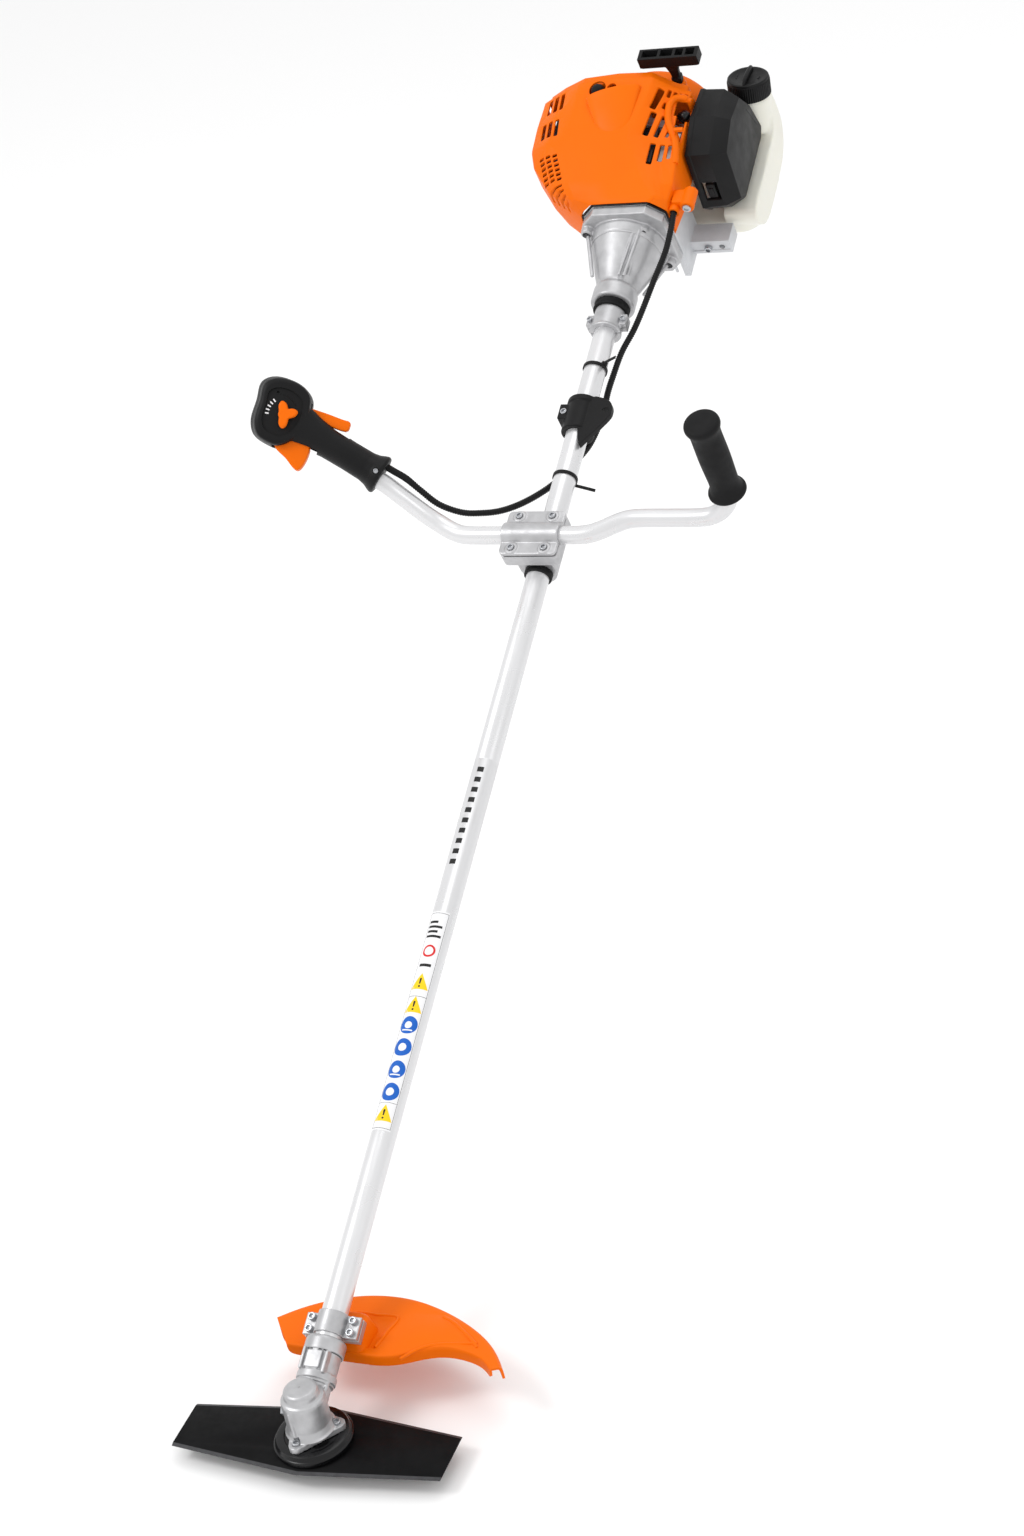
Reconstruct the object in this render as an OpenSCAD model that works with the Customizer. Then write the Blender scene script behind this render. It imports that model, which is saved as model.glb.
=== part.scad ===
// Petrol brush cutter with a bicycle handlebar, a three-lobed control handle and a two-edged steel blade.
// Lengths are in millimetres. Everything is drawn in the tube's frame: the drive tube lies along +Y,
// towards the engine, +Z is square to it and up, and the origin is where the tube axis crosses the spindle.
// place() then tips the machine to its working pose, blade level, and puts the origin in the carrying eye.

/* [Drive tube] */
// Outer diameter of the drive tube
tube_d = 28; // [26:0.5:30]
// Wall of the drive tube
tube_wall = 1.6; // [1.4:0.1:2]
// Where the tube ends inside the engine clamp, from the spindle
tube_end_y = 1440; // [1436:1:1444]
// Angle between the tube and the blade's plane
tilt = 26; // [24:0.5:28]

/* [Blade] */
// Blade length from end to end
blade_len = 305; // [280:1:310]
// Blade width at its middle
blade_mid_w = 97; // [80:1:100]
// Blade width at its ends
blade_end_w = 62; // [50:1:70]
// Blade thickness
blade_t = 2; // [1.6:0.1:2.4]

/* [Handlebar] */
// Handlebar tube diameter
bar_d = 22; // [20:0.5:24]
// Handlebar clamp centre along the tube
bar_y = 1074; // [1060:1:1090]
// Height of the handlebar's axis above the tube's axis
bar_z = 40; // [38:1:44]

/* [Carrying eye] */
// Diameter of the hole for the harness hook
eye_d = 8; // [7:0.5:9]
// Thickness of the eye's lug
lug_t = 8; // [6:1:10]

/* [Engine] */
// Cylinder bore
bore_d = 34; // [32:1:36]
// Flywheel diameter
flywheel_d = 100; // [90:1:104]
// Fuel filler cap diameter
cap_d = 56; // [50:1:58]

/* [Hidden] */
$fn = 64;
ORANGE = [0.95, 0.38, 0.04];
BLACK = [0.05, 0.05, 0.055];
SILVER = [0.72, 0.73, 0.74];
STEEL = [0.55, 0.56, 0.58];
GREY = [0.66, 0.67, 0.68];
MILK = [0.9, 0.9, 0.86];
tube_r = tube_d / 2;
tube_in_r = tube_r - tube_wall;
run_gap = 0.05;
shaft_r = 4;
bar_r = bar_d / 2;
eye_at = [36, 1280, 12];
spindle_r = 6;
blade_top_z = -36.8;
handle_at = [-179, 1112, 105];
handle_turn = [27.5, -51.8, -50.9];
grip_low = [245, 1108, 76];
grip_turn = [-3, 0, 0];
rope_x = 40;
rope_y = 1772;
cap_at = [109, 1818, 8];
cap_turn = [-17, 5, 0];
bar_route = [[-244, 1126.5, 146], [-212, 1116.5, 124], [-180, 1106.5, 102], [-165, 1101, 88],
    [-152, 1097, 73], [-138, 1092, 59], [-123, 1087, 48], [-104, 1079, 41.5], [-84, 1074.5, 40],
    [-36, 1074, 40], [0, 1074, 40], [36, 1074, 40], [58, 1074, 40], [72, 1076, 40], [86, 1082, 40],
    [100, 1090, 40], [114, 1096, 40], [130, 1098, 40],
    [170, 1098, 40], [205, 1098, 40.5], [222, 1099.5, 44], [235, 1102, 53], [242.5, 1105, 64],
    [245, 1108, 76], [245, 1110.8, 130], [245, 1114, 190]];
conduit_route = [[67, 1586, 38], [67, 1572, 37.5], [66, 1552, 31], [61, 1525, 20], [50, 1490, 8],
    [39, 1455, -5], [31, 1428, -12], [20, 1398, -18], [14, 1365, -24], [12, 1340, -26], [12, 1312, -29],
    [8, 1290, -33], [2, 1262, -33], [-8, 1230, -26], [-20, 1200, -20], [-34, 1175, -12], [-50, 1148, 2],
    [-66, 1128, 16], [-84, 1117, 27], [-104, 1111, 37], [-126, 1109, 56], [-142, 1112, 80],
    [-155, 1116, 98], [-170, 1120, 109], [-190, 1126, 123]];

// Working pose with the carrying eye at the origin.
module place() { rotate([tilt, 0, 0]) translate(-eye_at) children(); }
// The gear head's own frame: +Z along the blade spindle.
module head() { rotate([-tilt, 0, 0]) children(); }
// Local +Z along the tube, starting at y.
module along(y) { translate([0, y, 0]) rotate([-90, 0, 0]) children(); }
// A flat outline in X and Z, drawn out along the tube from y0 to y1.
module slab_y(y0, y1) { translate([0, y1, 0]) rotate([90, 0, 0]) linear_extrude(y1 - y0) children(); }
module rod(y0, y1, r) { along(y0) cylinder(r = r, h = y1 - y0); }
module ring(y0, y1, r_out, r_in) {
    along(y0) difference() {
        cylinder(r = r_out, h = y1 - y0);
        translate([0, 0, -1]) cylinder(r = r_in, h = y1 - y0 + 2);
    }
}
// A block given by its lowest and highest corners.
module block(a, b) { translate(a) cube(b - a); }
// Socket-head screw, seated at z = 0 with its shank going down.
module socket_screw(d, shank) {
    translate([0, 0, -shank]) cylinder(d = d, h = shank + 0.1);
    difference() {
        cylinder(d = d * 1.7, h = d);
        translate([0, 0, d * 0.45]) cylinder(d = d * 0.95, h = d, $fn = 6);
    }
}

// A round tube swept along a route, as one closed skin.
function unit(v) = v / norm(v);
function heading(p, i) = unit(p[min(i + 1, len(p) - 1)] - p[max(i - 1, 0)]);
function side_of(h, ref) = unit(cross(h, ref));
function loop_at(p, i, r, sides, ref) = let (h = heading(p, i), a = side_of(h, ref), b = cross(a, h))
    [for (k = [0 : sides - 1]) p[i] + r * (cos(360 * k / sides) * a + sin(360 * k / sides) * b)];
// Points between the route's own points, on a curve through them.
function between(a, b, c, d, t) = 0.5 * (2 * b + (c - a) * t + (2 * a - 5 * b + 4 * c - d) * t * t
    + (3 * b - a - 3 * c + d) * t * t * t);
function smooth(p, steps) = [for (i = [0 : len(p) - 2]) for (s = [0 : steps - 1])
    between(p[max(i - 1, 0)], p[i], p[i + 1], p[min(i + 2, len(p) - 1)], s / steps), p[len(p) - 1]];
module sweep(p, r, sides, ref = [0, 0.6, -0.8]) {
    rings = len(p);
    pts = [for (i = [0 : rings - 1]) each loop_at(p, i, r, sides, ref)];
    walls = [for (i = [0 : rings - 2]) for (k = [0 : sides - 1])
        [i * sides + k, i * sides + (k + 1) % sides,
        (i + 1) * sides + (k + 1) % sides, (i + 1) * sides + k]];
    low = [for (k = [sides - 1 : -1 : 0]) k];
    high = [for (k = [0 : sides - 1]) (rings - 1) * sides + k];
    polyhedron(points = pts, faces = concat([low], walls, [high]), convexity = 10);
}

/* Gear head */
flange_screw_r = 27;
flange_screw_turn = [-100, 20, 140];
module flange_outline(grow) {
    hull() for (a = flange_screw_turn) rotate(a) translate([flange_screw_r, 0]) circle(r = 6.5 + grow);
}
module gearbox_housing() {
    color(SILVER) place() difference() {
        union() {
            head() {
                translate([0, 0, -20]) cylinder(r = 23, h = 42);
                translate([0, 0, 22]) cylinder(r1 = 23, r2 = 20.5, h = 3);
                translate([0, 0, 25]) cylinder(r = 18.5, h = 8);
                translate([0, 0, 33]) cylinder(r1 = 18.5, r2 = 15.5, h = 2.5);
                translate([0, 0, -24]) linear_extrude(7) polygon([for (a = flange_screw_turn)
                    for (k = [-60 : 15 : 60])
                    flange_screw_r * [cos(a), sin(a)] + 7 * [cos(a + k), sin(a + k)]]);
                translate([0, 0, -22]) cylinder(r1 = 29, r2 = 23, h = 9);
            }
            rod(0, 40, 17.5);
            rod(33, 79, 19.5);
            rod(33, 41, 21);
            rod(63, 78, 21.5);
        }
        head() {
            translate([0, 0, -25]) cylinder(r = 14, h = 12.5);
            translate([0, 0, -13]) cylinder(r = 16, h = 36);
            translate([0, 0, 22]) cylinder(r = 11, h = 9);
            for (a = flange_screw_turn) rotate(a) translate([flange_screw_r, 0, 0]) {
                translate([0, 0, -30]) cylinder(r = 2.5, h = 20);
                translate([0, 0, -19]) cylinder(r = 4.4, h = 8);
            }
        }
        rod(10, 34.5, 11);
        rod(34, 80, tube_r);
        translate([-30, 0, 2]) rotate([0, 90, 0]) cylinder(r = 4, h = 10);
    }
}
module gearbox_plug() {
    color(STEEL) place() translate([-20.2, 0, 2]) rotate([0, -90, 0]) {
        cylinder(r = 4, h = 3);
        translate([0, 0, 2.9]) cylinder(r = 5.5, h = 4, $fn = 6);
    }
}
module gearbox_bearings() {
    color(STEEL) place() {
        ring(24, 33, 11, 5 + run_gap);
        head() {
            translate([0, 0, -23]) difference() {
                cylinder(r = 14, h = 10);
                translate([0, 0, -1]) cylinder(r = 8 + run_gap, h = 12);
            }
            translate([0, 0, 23]) difference() {
                cylinder(r = 11, h = 7);
                translate([0, 0, -1]) cylinder(r = spindle_r + run_gap, h = 9);
            }
        }
    }
}
pinion_teeth = 15;
gear_teeth = 21;
// A toothed frustum: its small end is at z = 0.
module toothed_cone(r_small, r_big, h, teeth) {
    difference() {
        cylinder(r1 = r_small, r2 = r_big, h = h);
        for (k = [0 : teeth - 1]) rotate(360 * k / teeth) translate([r_small, 0, 0])
            rotate([0, atan((r_big - r_small) / h), 0]) translate([-1.2, -0.7, -3]) cube([4, 1.4, h + 6]);
    }
}
module pinion_shaft() {
    color(STEEL) place() {
        rod(20, 36, 5);
        along(14) toothed_cone(6.1, 9.3, 6.2, pinion_teeth);
    }
}
module bevel_gear() {
    color(STEEL) place() head() difference() {
        union() {
            translate([0, 0, 12.3]) toothed_cone(8.9, 13.9, 6.2, gear_teeth);
            translate([0, 0, 18.4]) cylinder(r = 13.9, h = 2);
        }
        translate([0, 0, 5]) cylinder(r = spindle_r, h = 20);
    }
}
module spindle() {
    color(STEEL) place() head() {
        translate([0, 0, -14]) cylinder(r = spindle_r, h = 43.8);
        translate([0, 0, -29]) cylinder(r = 8, h = 15.1);
        translate([0, 0, -52.3]) cylinder(r = 5, h = 23.4);
        translate([0, 0, -58]) cylinder(r = 4.5, h = 5.8);
    }
}
module winding_guard() {
    color(BLACK) place() head() translate([0, 0, -34.5]) difference() {
        union() {
            cylinder(r = 42, h = 5);
            translate([0, 0, 5]) cylinder(r1 = 41, r2 = 37, h = 5.3);
        }
        translate([0, 0, -1]) cylinder(r = 39, h = 6);
        translate([0, 0, 4.9]) cylinder(r1 = 38, r2 = 34, h = 3.1);
        cylinder(r = 12, h = 20);
    }
}
module thrust_plate() {
    color(STEEL) place() head() difference() {
        union() {
            translate([0, 0, blade_top_z]) cylinder(r = 28, h = 5);
            translate([0, 0, blade_top_z]) cylinder(r = 11, h = 8.8);
            translate([0, 0, blade_top_z - 1.6]) cylinder(r = 12.7, h = 2);
        }
        translate([0, 0, -50]) cylinder(r = 5, h = 30);
        translate([0, 0, -29]) cylinder(r = 8, h = 5);
    }
}
module blade() {
    half = blade_len / 2;
    edge = blade_end_w / 2;
    color(BLACK) place() head() translate([0, 0, blade_top_z - blade_t]) difference() {
        linear_extrude(blade_t) polygon([[-half, edge], [0, blade_mid_w / 2], [half, edge],
            [half, -edge], [0, -blade_mid_w / 2], [-half, -edge]]);
        translate([0, 0, -1]) cylinder(r = 12.75, h = blade_t + 2);
    }
}
module rider_plate() {
    color(BLACK) place() head() translate([0, 0, -44.8]) difference() {
        cylinder(r1 = 15, r2 = 22, h = 6);
        translate([0, 0, -1]) cylinder(r = 5, h = 9);
        translate([0, 0, 4.4]) cylinder(r = 12.75, h = 2);
    }
}
module blade_nut() {
    color(STEEL) place() head() translate([0, 0, -51.8]) difference() {
        cylinder(r = 9, h = 7, $fn = 6);
        translate([0, 0, -1]) cylinder(r = 5, h = 9);
    }
}

/* Blade guard */
guard_low_z = -31;
guard_top_z = 13;
guard_skin = 2.6;
guard_rim = [[-88, 122], [-58, 148], [-30, 162], [0, 171], [34, 173], [66, 168], [98, 157], [128, 142],
    [154, 124], [172, 100]];
module guard_skirt() {
    n = len(guard_rim) - 1;
    linear_extrude(guard_top_z - guard_low_z) polygon(concat(guard_rim,
        [for (i = [n : -1 : 0]) guard_rim[i] * (1 - guard_skin / norm(guard_rim[i]))]));
}
module guard() {
    color(ORANGE) place() difference() {
        union() {
            head() {
                translate([0, 0, guard_low_z]) guard_skirt();
                translate([0, 0, guard_top_z - guard_skin]) linear_extrude(guard_skin)
                    polygon(concat([[-58, 82], [58, 78], [84, 92], [104, 102], [134, 104], [168, 88]],
                        [for (i = [len(guard_rim) - 1 : -1 : 0]) guard_rim[i]]));
                translate([0, 0, guard_top_z - 14]) linear_extrude(14)
                    polygon([[-58, 82], [58, 78], [58, 81], [-58, 85]]);
                block([-30, 84, guard_top_z - 1], [30, 122, 34]);
            }
        }
        rod(60, 130, tube_r + 0.3);
        block([-34, 60, -16.5], [34, 140, 30]);
        for (x = [-22, 22], y = [91, 101]) translate([x, y, -36]) cylinder(r = 2.5, h = 30);
    }
}
module guard_bracket() {
    color(STEEL) place() difference() {
        union() {
            rod(84, 108, tube_r + 2.4);
            block([-31, 84, -6], [31, 108, -1]);
            block([-31, 84, -16.4], [31, 108, -8]);
        }
        rod(80, 112, tube_r);
        block([-40, 80, -8], [40, 112, -6]);
        for (x = [-22, 22], y = [91, 101]) translate([x, y, -30]) cylinder(r = 2.5, h = 40);
    }
}
module guard_screws() {
    color(STEEL) place() for (x = [-22, 22], y = [91, 101]) translate([x, y, -1]) socket_screw(5, 30);
}

/* Tube and shaft */
module drive_tube() {
    color(SILVER) place() ring(34.5, tube_end_y, tube_r, tube_in_r);
}
module drive_shaft() {
    color(STEEL) place() rod(36, 1500, shaft_r);
}
module shaft_bushes() {
    color(BLACK) place() for (y = [150 : 250 : 1400]) ring(y, y + 22, tube_in_r, shaft_r + run_gap);
}
module safety_label() {
    color("white") place() along(312) rotate(219) rotate_extrude(angle = 102)
        translate([tube_r + 0.02, 0]) square([0.16, 267]);
}

/* Handlebar clamp */
clamp_half_x = 36;
clamp_half_y = 31;
clamp_screw_x = 21;
clamp_screw_y = 23;
clamp_seat_z = 46;
module clamp_screw_holes(z, h, r) {
    for (x = [-clamp_screw_x, clamp_screw_x], y = [bar_y - clamp_screw_y, bar_y + clamp_screw_y])
        translate([x, y, z]) cylinder(r = r, h = h);
}
module handlebar_clamp_base() {
    color(SILVER) place() difference() {
        union() {
            block([-clamp_half_x, bar_y - clamp_half_y, 22],
                [clamp_half_x, bar_y + clamp_half_y, bar_z - 1.5]);
            block([-23, bar_y - 25, 0], [23, bar_y + 25, 23]);
            rod(bar_y - 25, bar_y + 25, 22);
        }
        rod(bar_y - 40, bar_y + 40, tube_r);
        translate([-50, bar_y, bar_z]) rotate([0, 90, 0]) cylinder(r = bar_r, h = 100);
        clamp_screw_holes(16, 40, 2.5);
    }
}
module handlebar_clamp_cap() {
    color(SILVER) place() difference() {
        union() {
            block([-clamp_half_x, bar_y - clamp_half_y, bar_z + 1.5],
                [clamp_half_x, bar_y + clamp_half_y, clamp_seat_z]);
            translate([-clamp_half_x, bar_y, bar_z]) rotate([0, 90, 0])
                cylinder(r = bar_r + 4.5, h = 2 * clamp_half_x);
        }
        block([-50, bar_y - 40, 0], [50, bar_y + 40, bar_z + 1.5]);
        translate([-50, bar_y, bar_z]) rotate([0, 90, 0]) cylinder(r = bar_r, h = 100);
        clamp_screw_holes(bar_z - 5, 40, 2.5);
        clamp_screw_holes(clamp_seat_z - 1, 40, 4.6);
    }
}
module clamp_screws() {
    color(STEEL) place() {
        for (x = [-clamp_screw_x, clamp_screw_x], y = [bar_y - clamp_screw_y, bar_y + clamp_screw_y])
            translate([x, y, clamp_seat_z - 1]) socket_screw(5, 28);
        translate([-20, 1281, 10]) socket_screw(5, 22);
        for (x = [-22, 22]) translate([x, 1430, 7]) socket_screw(4, 16);
        translate(handle_at) rotate(handle_turn) translate([16.5, 0, 12]) rotate([0, 90, 0])
            socket_screw(4, 5.5);
    }
}
module clamp_rubber_ring() {
    color(BLACK) place() ring(bar_y - 33, bar_y - 25, 17, tube_r);
}

/* Handlebar and its two grips */
module handlebar() {
    color(SILVER) place() sweep(bar_route, bar_r - 0.05, 20);
}
module in_handle() { translate(handle_at) rotate(handle_turn) children(); }
module handle_solid() {
    translate([0, 0, 4]) cylinder(r1 = 24, r2 = 19.5, h = 12);
    translate([0, 0, 15.9]) cylinder(r1 = 19.5, r2 = 18, h = 60);
    translate([0, 0, 75.8]) cylinder(r1 = 18, r2 = 20, h = 50);
    translate([0, 2, 138]) rotate([0, 90, 0]) translate([0, 0, -34]) cylinder(r = 27, h = 52);
    translate([0, 2, 146]) rotate([0, 90, 0]) translate([0, 0, -34]) cylinder(r = 27, h = 24);
    translate([0, -14, 142]) rotate([0, 90, 0]) translate([0, 0, -34]) cylinder(r = 25, h = 52);
    translate([0, 16, 142]) rotate([0, 90, 0]) translate([0, 0, -34]) cylinder(r = 25, h = 52);
}
// What is hollowed out for the handlebar, the levers and the conduit.
module handle_hollow() {
    translate([0, -6, -1]) cylinder(r = bar_r + 0.3, h = 86);
    block([-11, -44, 88], [11, 26, 128]);
    block([-7, 6, 60], [7, 28, 128]);
    block([-11, -30, 127], [12, 30, 156]);
    translate([12, 0, 139]) rotate([0, 90, 0]) cylinder(r = 5.1, h = 10);
    translate([3, 12, -1]) cylinder(r = 4.9, h = 32);
    translate([10.8, 0, 12]) rotate([0, 90, 0]) cylinder(r = 2.1, h = 30);
    translate([16.5, 0, 12]) rotate([0, 90, 0]) cylinder(r = 3.6, h = 30);
}
module control_handle_rear() {
    color(BLACK) place() in_handle() intersection() {
        difference() { handle_solid(); handle_hollow(); }
        block([0.05, -60, -5], [60, 60, 190]);
    }
}
module control_handle_front() {
    color(BLACK) place() in_handle() intersection() {
        difference() { handle_solid(); handle_hollow(); }
        block([-60, -60, -5], [-0.05, 60, 190]);
    }
}
trigger_pivot = [0, -11, 121];
module throttle_trigger() {
    color(ORANGE) place() in_handle() difference() {
        translate([-9, 0, 0]) rotate([90, 0, 90]) linear_extrude(18) polygon([[-6, 125], [-16, 126.5],
            [-26, 122], [-34, 113], [-42, 104], [-50, 92], [-48, 86], [-42, 86], [-21, 98], [-12, 104],
            [-6, 112]]);
        translate([-20, trigger_pivot[1], trigger_pivot[2]]) rotate([0, 90, 0]) cylinder(r = 2.1, h = 40);
    }
}
lockout_pivot = [0, 15, 121];
module throttle_lockout() {
    color(ORANGE) place() in_handle() difference() {
        translate([-5, 0, 0]) rotate([90, 0, 90]) linear_extrude(10) polygon([[11, 125], [18, 125.5],
            [24, 120], [33, 78], [35, 70], [31, 67], [21, 68], [12, 110]]);
        translate([-20, lockout_pivot[1], lockout_pivot[2]]) rotate([0, 90, 0]) cylinder(r = 2.1, h = 40);
    }
}
module stop_switch() {
    color(ORANGE) place() in_handle() translate([0, 0, 139]) rotate([0, 90, 0]) {
        translate([0, 0, 12.5]) cylinder(r = 5, h = 9);
        translate([0, 0, 20.5]) linear_extrude(6) {
            circle(r = 7.5);
            for (a = [8, 133, 243]) rotate(a)
                polygon([[1, -6], [12, -4], [17, -1.5], [17, 1.5], [12, 4], [1, 6]]);
        }
    }
}
module rubber_grip() {
    color(BLACK) place() translate(grip_low) rotate(grip_turn) difference() {
        union() {
            cylinder(r1 = 23, r2 = 21, h = 6);
            translate([0, 0, 5.9]) cylinder(r1 = 19.5, r2 = 16.5, h = 12);
            translate([0, 0, 17.8]) cylinder(r1 = 16.5, r2 = 18, h = 40);
            translate([0, 0, 57.7]) cylinder(r1 = 18, r2 = 17.5, h = 46);
            translate([0, 0, 103.6]) cylinder(r1 = 17.5, r2 = 21.5, h = 10);
            translate([0, 0, 113.5]) cylinder(r1 = 21.5, r2 = 19, h = 7);
        }
        translate([0, 0, -4]) cylinder(r = bar_r + 0.3, h = 119);
    }
}

/* Throttle conduit and its ties */
module throttle_conduit() {
    color(BLACK) place() sweep(smooth(conduit_route, 2), 4.2, 10, [0.3, 0.1, 1]);
}
tie_y = [1356, 1188];
module cable_ties() {
    color(BLACK) place() {
        difference() {
            union() {
                rod(tie_y[0] - 2.2, tie_y[0] + 2.2, 15.6);
                translate([10, tie_y[0] - 2.6, 10]) rotate([0, 45, 0]) cube([7, 5.2, 6]);
                translate([13, tie_y[0] - 2, 12]) rotate([0, 60, 0]) cube([1.4, 4, 24]);
            }
            rod(tie_y[0] - 9, tie_y[0] + 9, tube_r);
        }
        difference() {
            union() {
                rod(tie_y[1] - 2.2, tie_y[1] + 2.2, 15.6);
                translate([-17, tie_y[1] - 2.6, -12]) cube([6, 5.2, 8]);
                translate([8, tie_y[1] - 2, -13]) rotate([0, 115, 0]) cube([1.4, 4, 26]);
            }
            rod(tie_y[1] - 9, tie_y[1] + 9, tube_r);
        }
    }
}

/* Harness clamp with the carrying eye */
module harness_clamp() {
    color(BLACK) place() difference() {
        union() {
            rod(1254, 1302, 20.5);
            rod(1294, 1302, 22);
            block([-26, 1270, -12], [-12, 1292, 14]);
            translate([0, 0, eye_at[2] - lug_t / 2]) linear_extrude(lug_t)
                polygon([[12, 1230], [18, 1234], [41, 1268], [44.5, 1279], [42, 1289], [34, 1297],
                    [12, 1300]]);
        }
        rod(1220, 1310, tube_r);
        block([-40, 1240, -0.6], [-10, 1310, 0.6]);
        translate([eye_at[0], eye_at[1], -20]) cylinder(d = eye_d, h = 60);
        translate([-20, 1281, -30]) cylinder(r = 2.5, h = 60);
        translate([-20, 1281, 10]) cylinder(r = 4.5, h = 30);
    }
}

/* Engine mounting */
module engine_clamp_collar() {
    color(SILVER) place() difference() {
        union() {
            rod(1414, 1446, 19.5);
            block([-26, 1422, -8], [26, 1438, 7]);
        }
        rod(1400, 1450, tube_r);
        block([-40, 1400, -0.6], [40, 1450, 0.6]);
        for (x = [-22, 22]) translate([x, 1430, -20]) cylinder(r = 2, h = 40);
    }
}
module vibration_ring() {
    color(BLACK) place() ring(1446, 1456, 23, tube_r + 4);
}
housing_screw_at = [[-46, 33], [30, 33], [46, -30], [-46, -30]];
flange_corner = [[-56, 10], [-52, 42], [-34, 60], [38, 60], [58, 42], [60, -36], [44, -52], [-44, -52],
    [-56, -36]];
module clutch_housing() {
    color(SILVER) place() difference() {
        union() {
            rod(1456, 1482, 27);
            along(1481.9) cylinder(r1 = 27, r2 = 51, h = 78);
            slab_y(1558, 1570) polygon(flange_corner);
        }
        rod(1450, 1500, 12);
        rod(1499, 1520, 6 + run_gap);
        rod(1516, 1537, 20);
        rod(1536, 1575, 38.5);
        for (p = housing_screw_at) translate([p[0], 1500, p[1]]) rotate([-90, 0, 0]) {
            cylinder(r = 2.5, h = 80);
            cylinder(r = 5.2, h = 60);
        }
    }
}
module housing_screws() {
    color(STEEL) place() {
        for (p = housing_screw_at) translate([p[0], 1560, p[1]]) rotate([90, 0, 0]) socket_screw(5, 22);
        head() for (a = flange_screw_turn) rotate(a) translate([flange_screw_r, 0, -19])
            socket_screw(5, 4.5);
    }
}
module clutch_drum() {
    color(STEEL) place() difference() {
        union() {
            rod(1500, 1542, 6);
            rod(1538, 1567, 36.5);
        }
        rod(1541, 1568, 34);
    }
}
module clutch_shoes() {
    color(STEEL) place() along(1546) difference() {
        union() for (s = [0, 180]) rotate(s) intersection() {
            cylinder(r = 32.6, h = 18);
            translate([-40, 1.2, 0]) cube([80, 40, 18]);
        }
        translate([0, 0, -1]) cylinder(r = 9, h = 20);
    }
}
// Cylinder centre along the machine.
cyl_y = 1662;
crank_r = 20;
module crankshaft() {
    color(STEEL) place() {
        rod(1545, 1564, 9);
        rod(1543, cyl_y - 10, 6);
        for (y = [cyl_y - 12, cyl_y + 4]) slab_y(y, y + 8) intersection() {
            circle(r = crank_r);
            translate([-13, -crank_r]) square([26, crank_r + 17]);
        }
        translate([0, cyl_y - 12, 12]) rotate([-90, 0, 0]) cylinder(r = 5, h = 24);
        rod(cyl_y + 4, 1760, 6);
    }
}
module crank_bearings() {
    color(STEEL) place() for (y = [1584, 1690]) ring(y, y + 10, 16, 6 + run_gap);
}
module flywheel() {
    color(GREY) place() difference() {
        union() {
            rod(1716, 1728, flywheel_d / 2);
            rod(1708, 1717, 14);
            for (k = [0 : 11]) along(1728) rotate(30 * k) translate([18, -1, -0.1]) cube([30, 2, 14]);
        }
        rod(1700, 1750, 6);
    }
}
module crankcase() {
    color(GREY) place() difference() {
        union() {
            rod(1574, 1704, 37);
            slab_y(1571, 1579) polygon(flange_corner);
            block([-44, 1590, -98], [48, 1658, -20]);
            block([40, 1622, -92], [100, 1652, -70]);
            block([-30, cyl_y - 30, 0], [30, cyl_y + 30, 38]);
        }
        rod(cyl_y - 20, cyl_y + 20, 27);
        rod(1565, 1710, 16);
        translate([0, cyl_y, 10]) cylinder(d = bore_d + 4, h = 40);
        for (p = housing_screw_at) translate([p[0], 1560, p[1]]) rotate([-90, 0, 0])
            cylinder(r = 2.5, h = 24);
        block([-36, 1580, -99], [40, 1650, -42]);
        translate([88, 1600, -81]) rotate([-90, 0, 0]) cylinder(r = 4, h = 80);
    }
}
// The plug leans back from the cylinder head.
module at_plug() { translate([0, cyl_y + 10, 70]) rotate([-60, 0, 0]) children(); }
module cylinder_block() {
    color(GREY) place() difference() {
        union() {
            translate([0, cyl_y, 38]) cylinder(d = bore_d + 10, h = 32);
            for (k = [0 : 4]) block([-32, cyl_y - 30, 40 + 7 * k], [32, cyl_y + 30, 42.4 + 7 * k]);
            translate([0, cyl_y, 69.9]) cylinder(r1 = 22, r2 = 15, h = 6);
            block([20, cyl_y - 14, 44], [37.9, cyl_y + 14, 62]);
            block([-43.9, cyl_y - 14, 44], [-20, cyl_y + 14, 62]);
        }
        translate([0, cyl_y, 30]) cylinder(d = bore_d, h = 36);
        at_plug() translate([0, 0, -12]) cylinder(r = 5, h = 30);
        at_plug() translate([0, 0, 3.9]) cylinder(r = 9.5, h = 40);
    }
}
module piston() {
    color(SILVER) place() difference() {
        translate([0, cyl_y, 42]) cylinder(d = bore_d - 2 * run_gap, h = 22);
        translate([0, cyl_y, 41]) cylinder(d = bore_d - 6, h = 19);
        translate([-30, cyl_y, 50]) rotate([0, 90, 0]) cylinder(r = 4, h = 60);
    }
}
module muffler() {
    color(STEEL) place() difference() {
        block([-112, 1640, 10], [-44, 1712, 72]);
        block([-110, 1642, 12], [-46, 1710, 70]);
        translate([-60, cyl_y, 53]) rotate([0, 90, 0]) cylinder(r = 7, h = 30);
        translate([-125, 1680, 30]) rotate([0, 90, 0]) cylinder(r = 5, h = 30);
    }
}
module spark_plug() {
    color(MILK) place() at_plug() {
        translate([0, 0, -2]) cylinder(r = 5, h = 6);
        translate([0, 0, 3.9]) cylinder(r = 8, h = 4, $fn = 6);
    }
}
boot_route = [[0, 1679.5, 74.3], [0, 1690, 80], [-8, 1702, 85], [-26, 1716, 88], [-44, 1726, 92],
    [-50, 1730, 99]];
module plug_boot() {
    color(BLACK) place() sweep(smooth(boot_route, 3), 7, 16, [1, 0, 0.2]);
}
shroud_rear_y = 1750;
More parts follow.
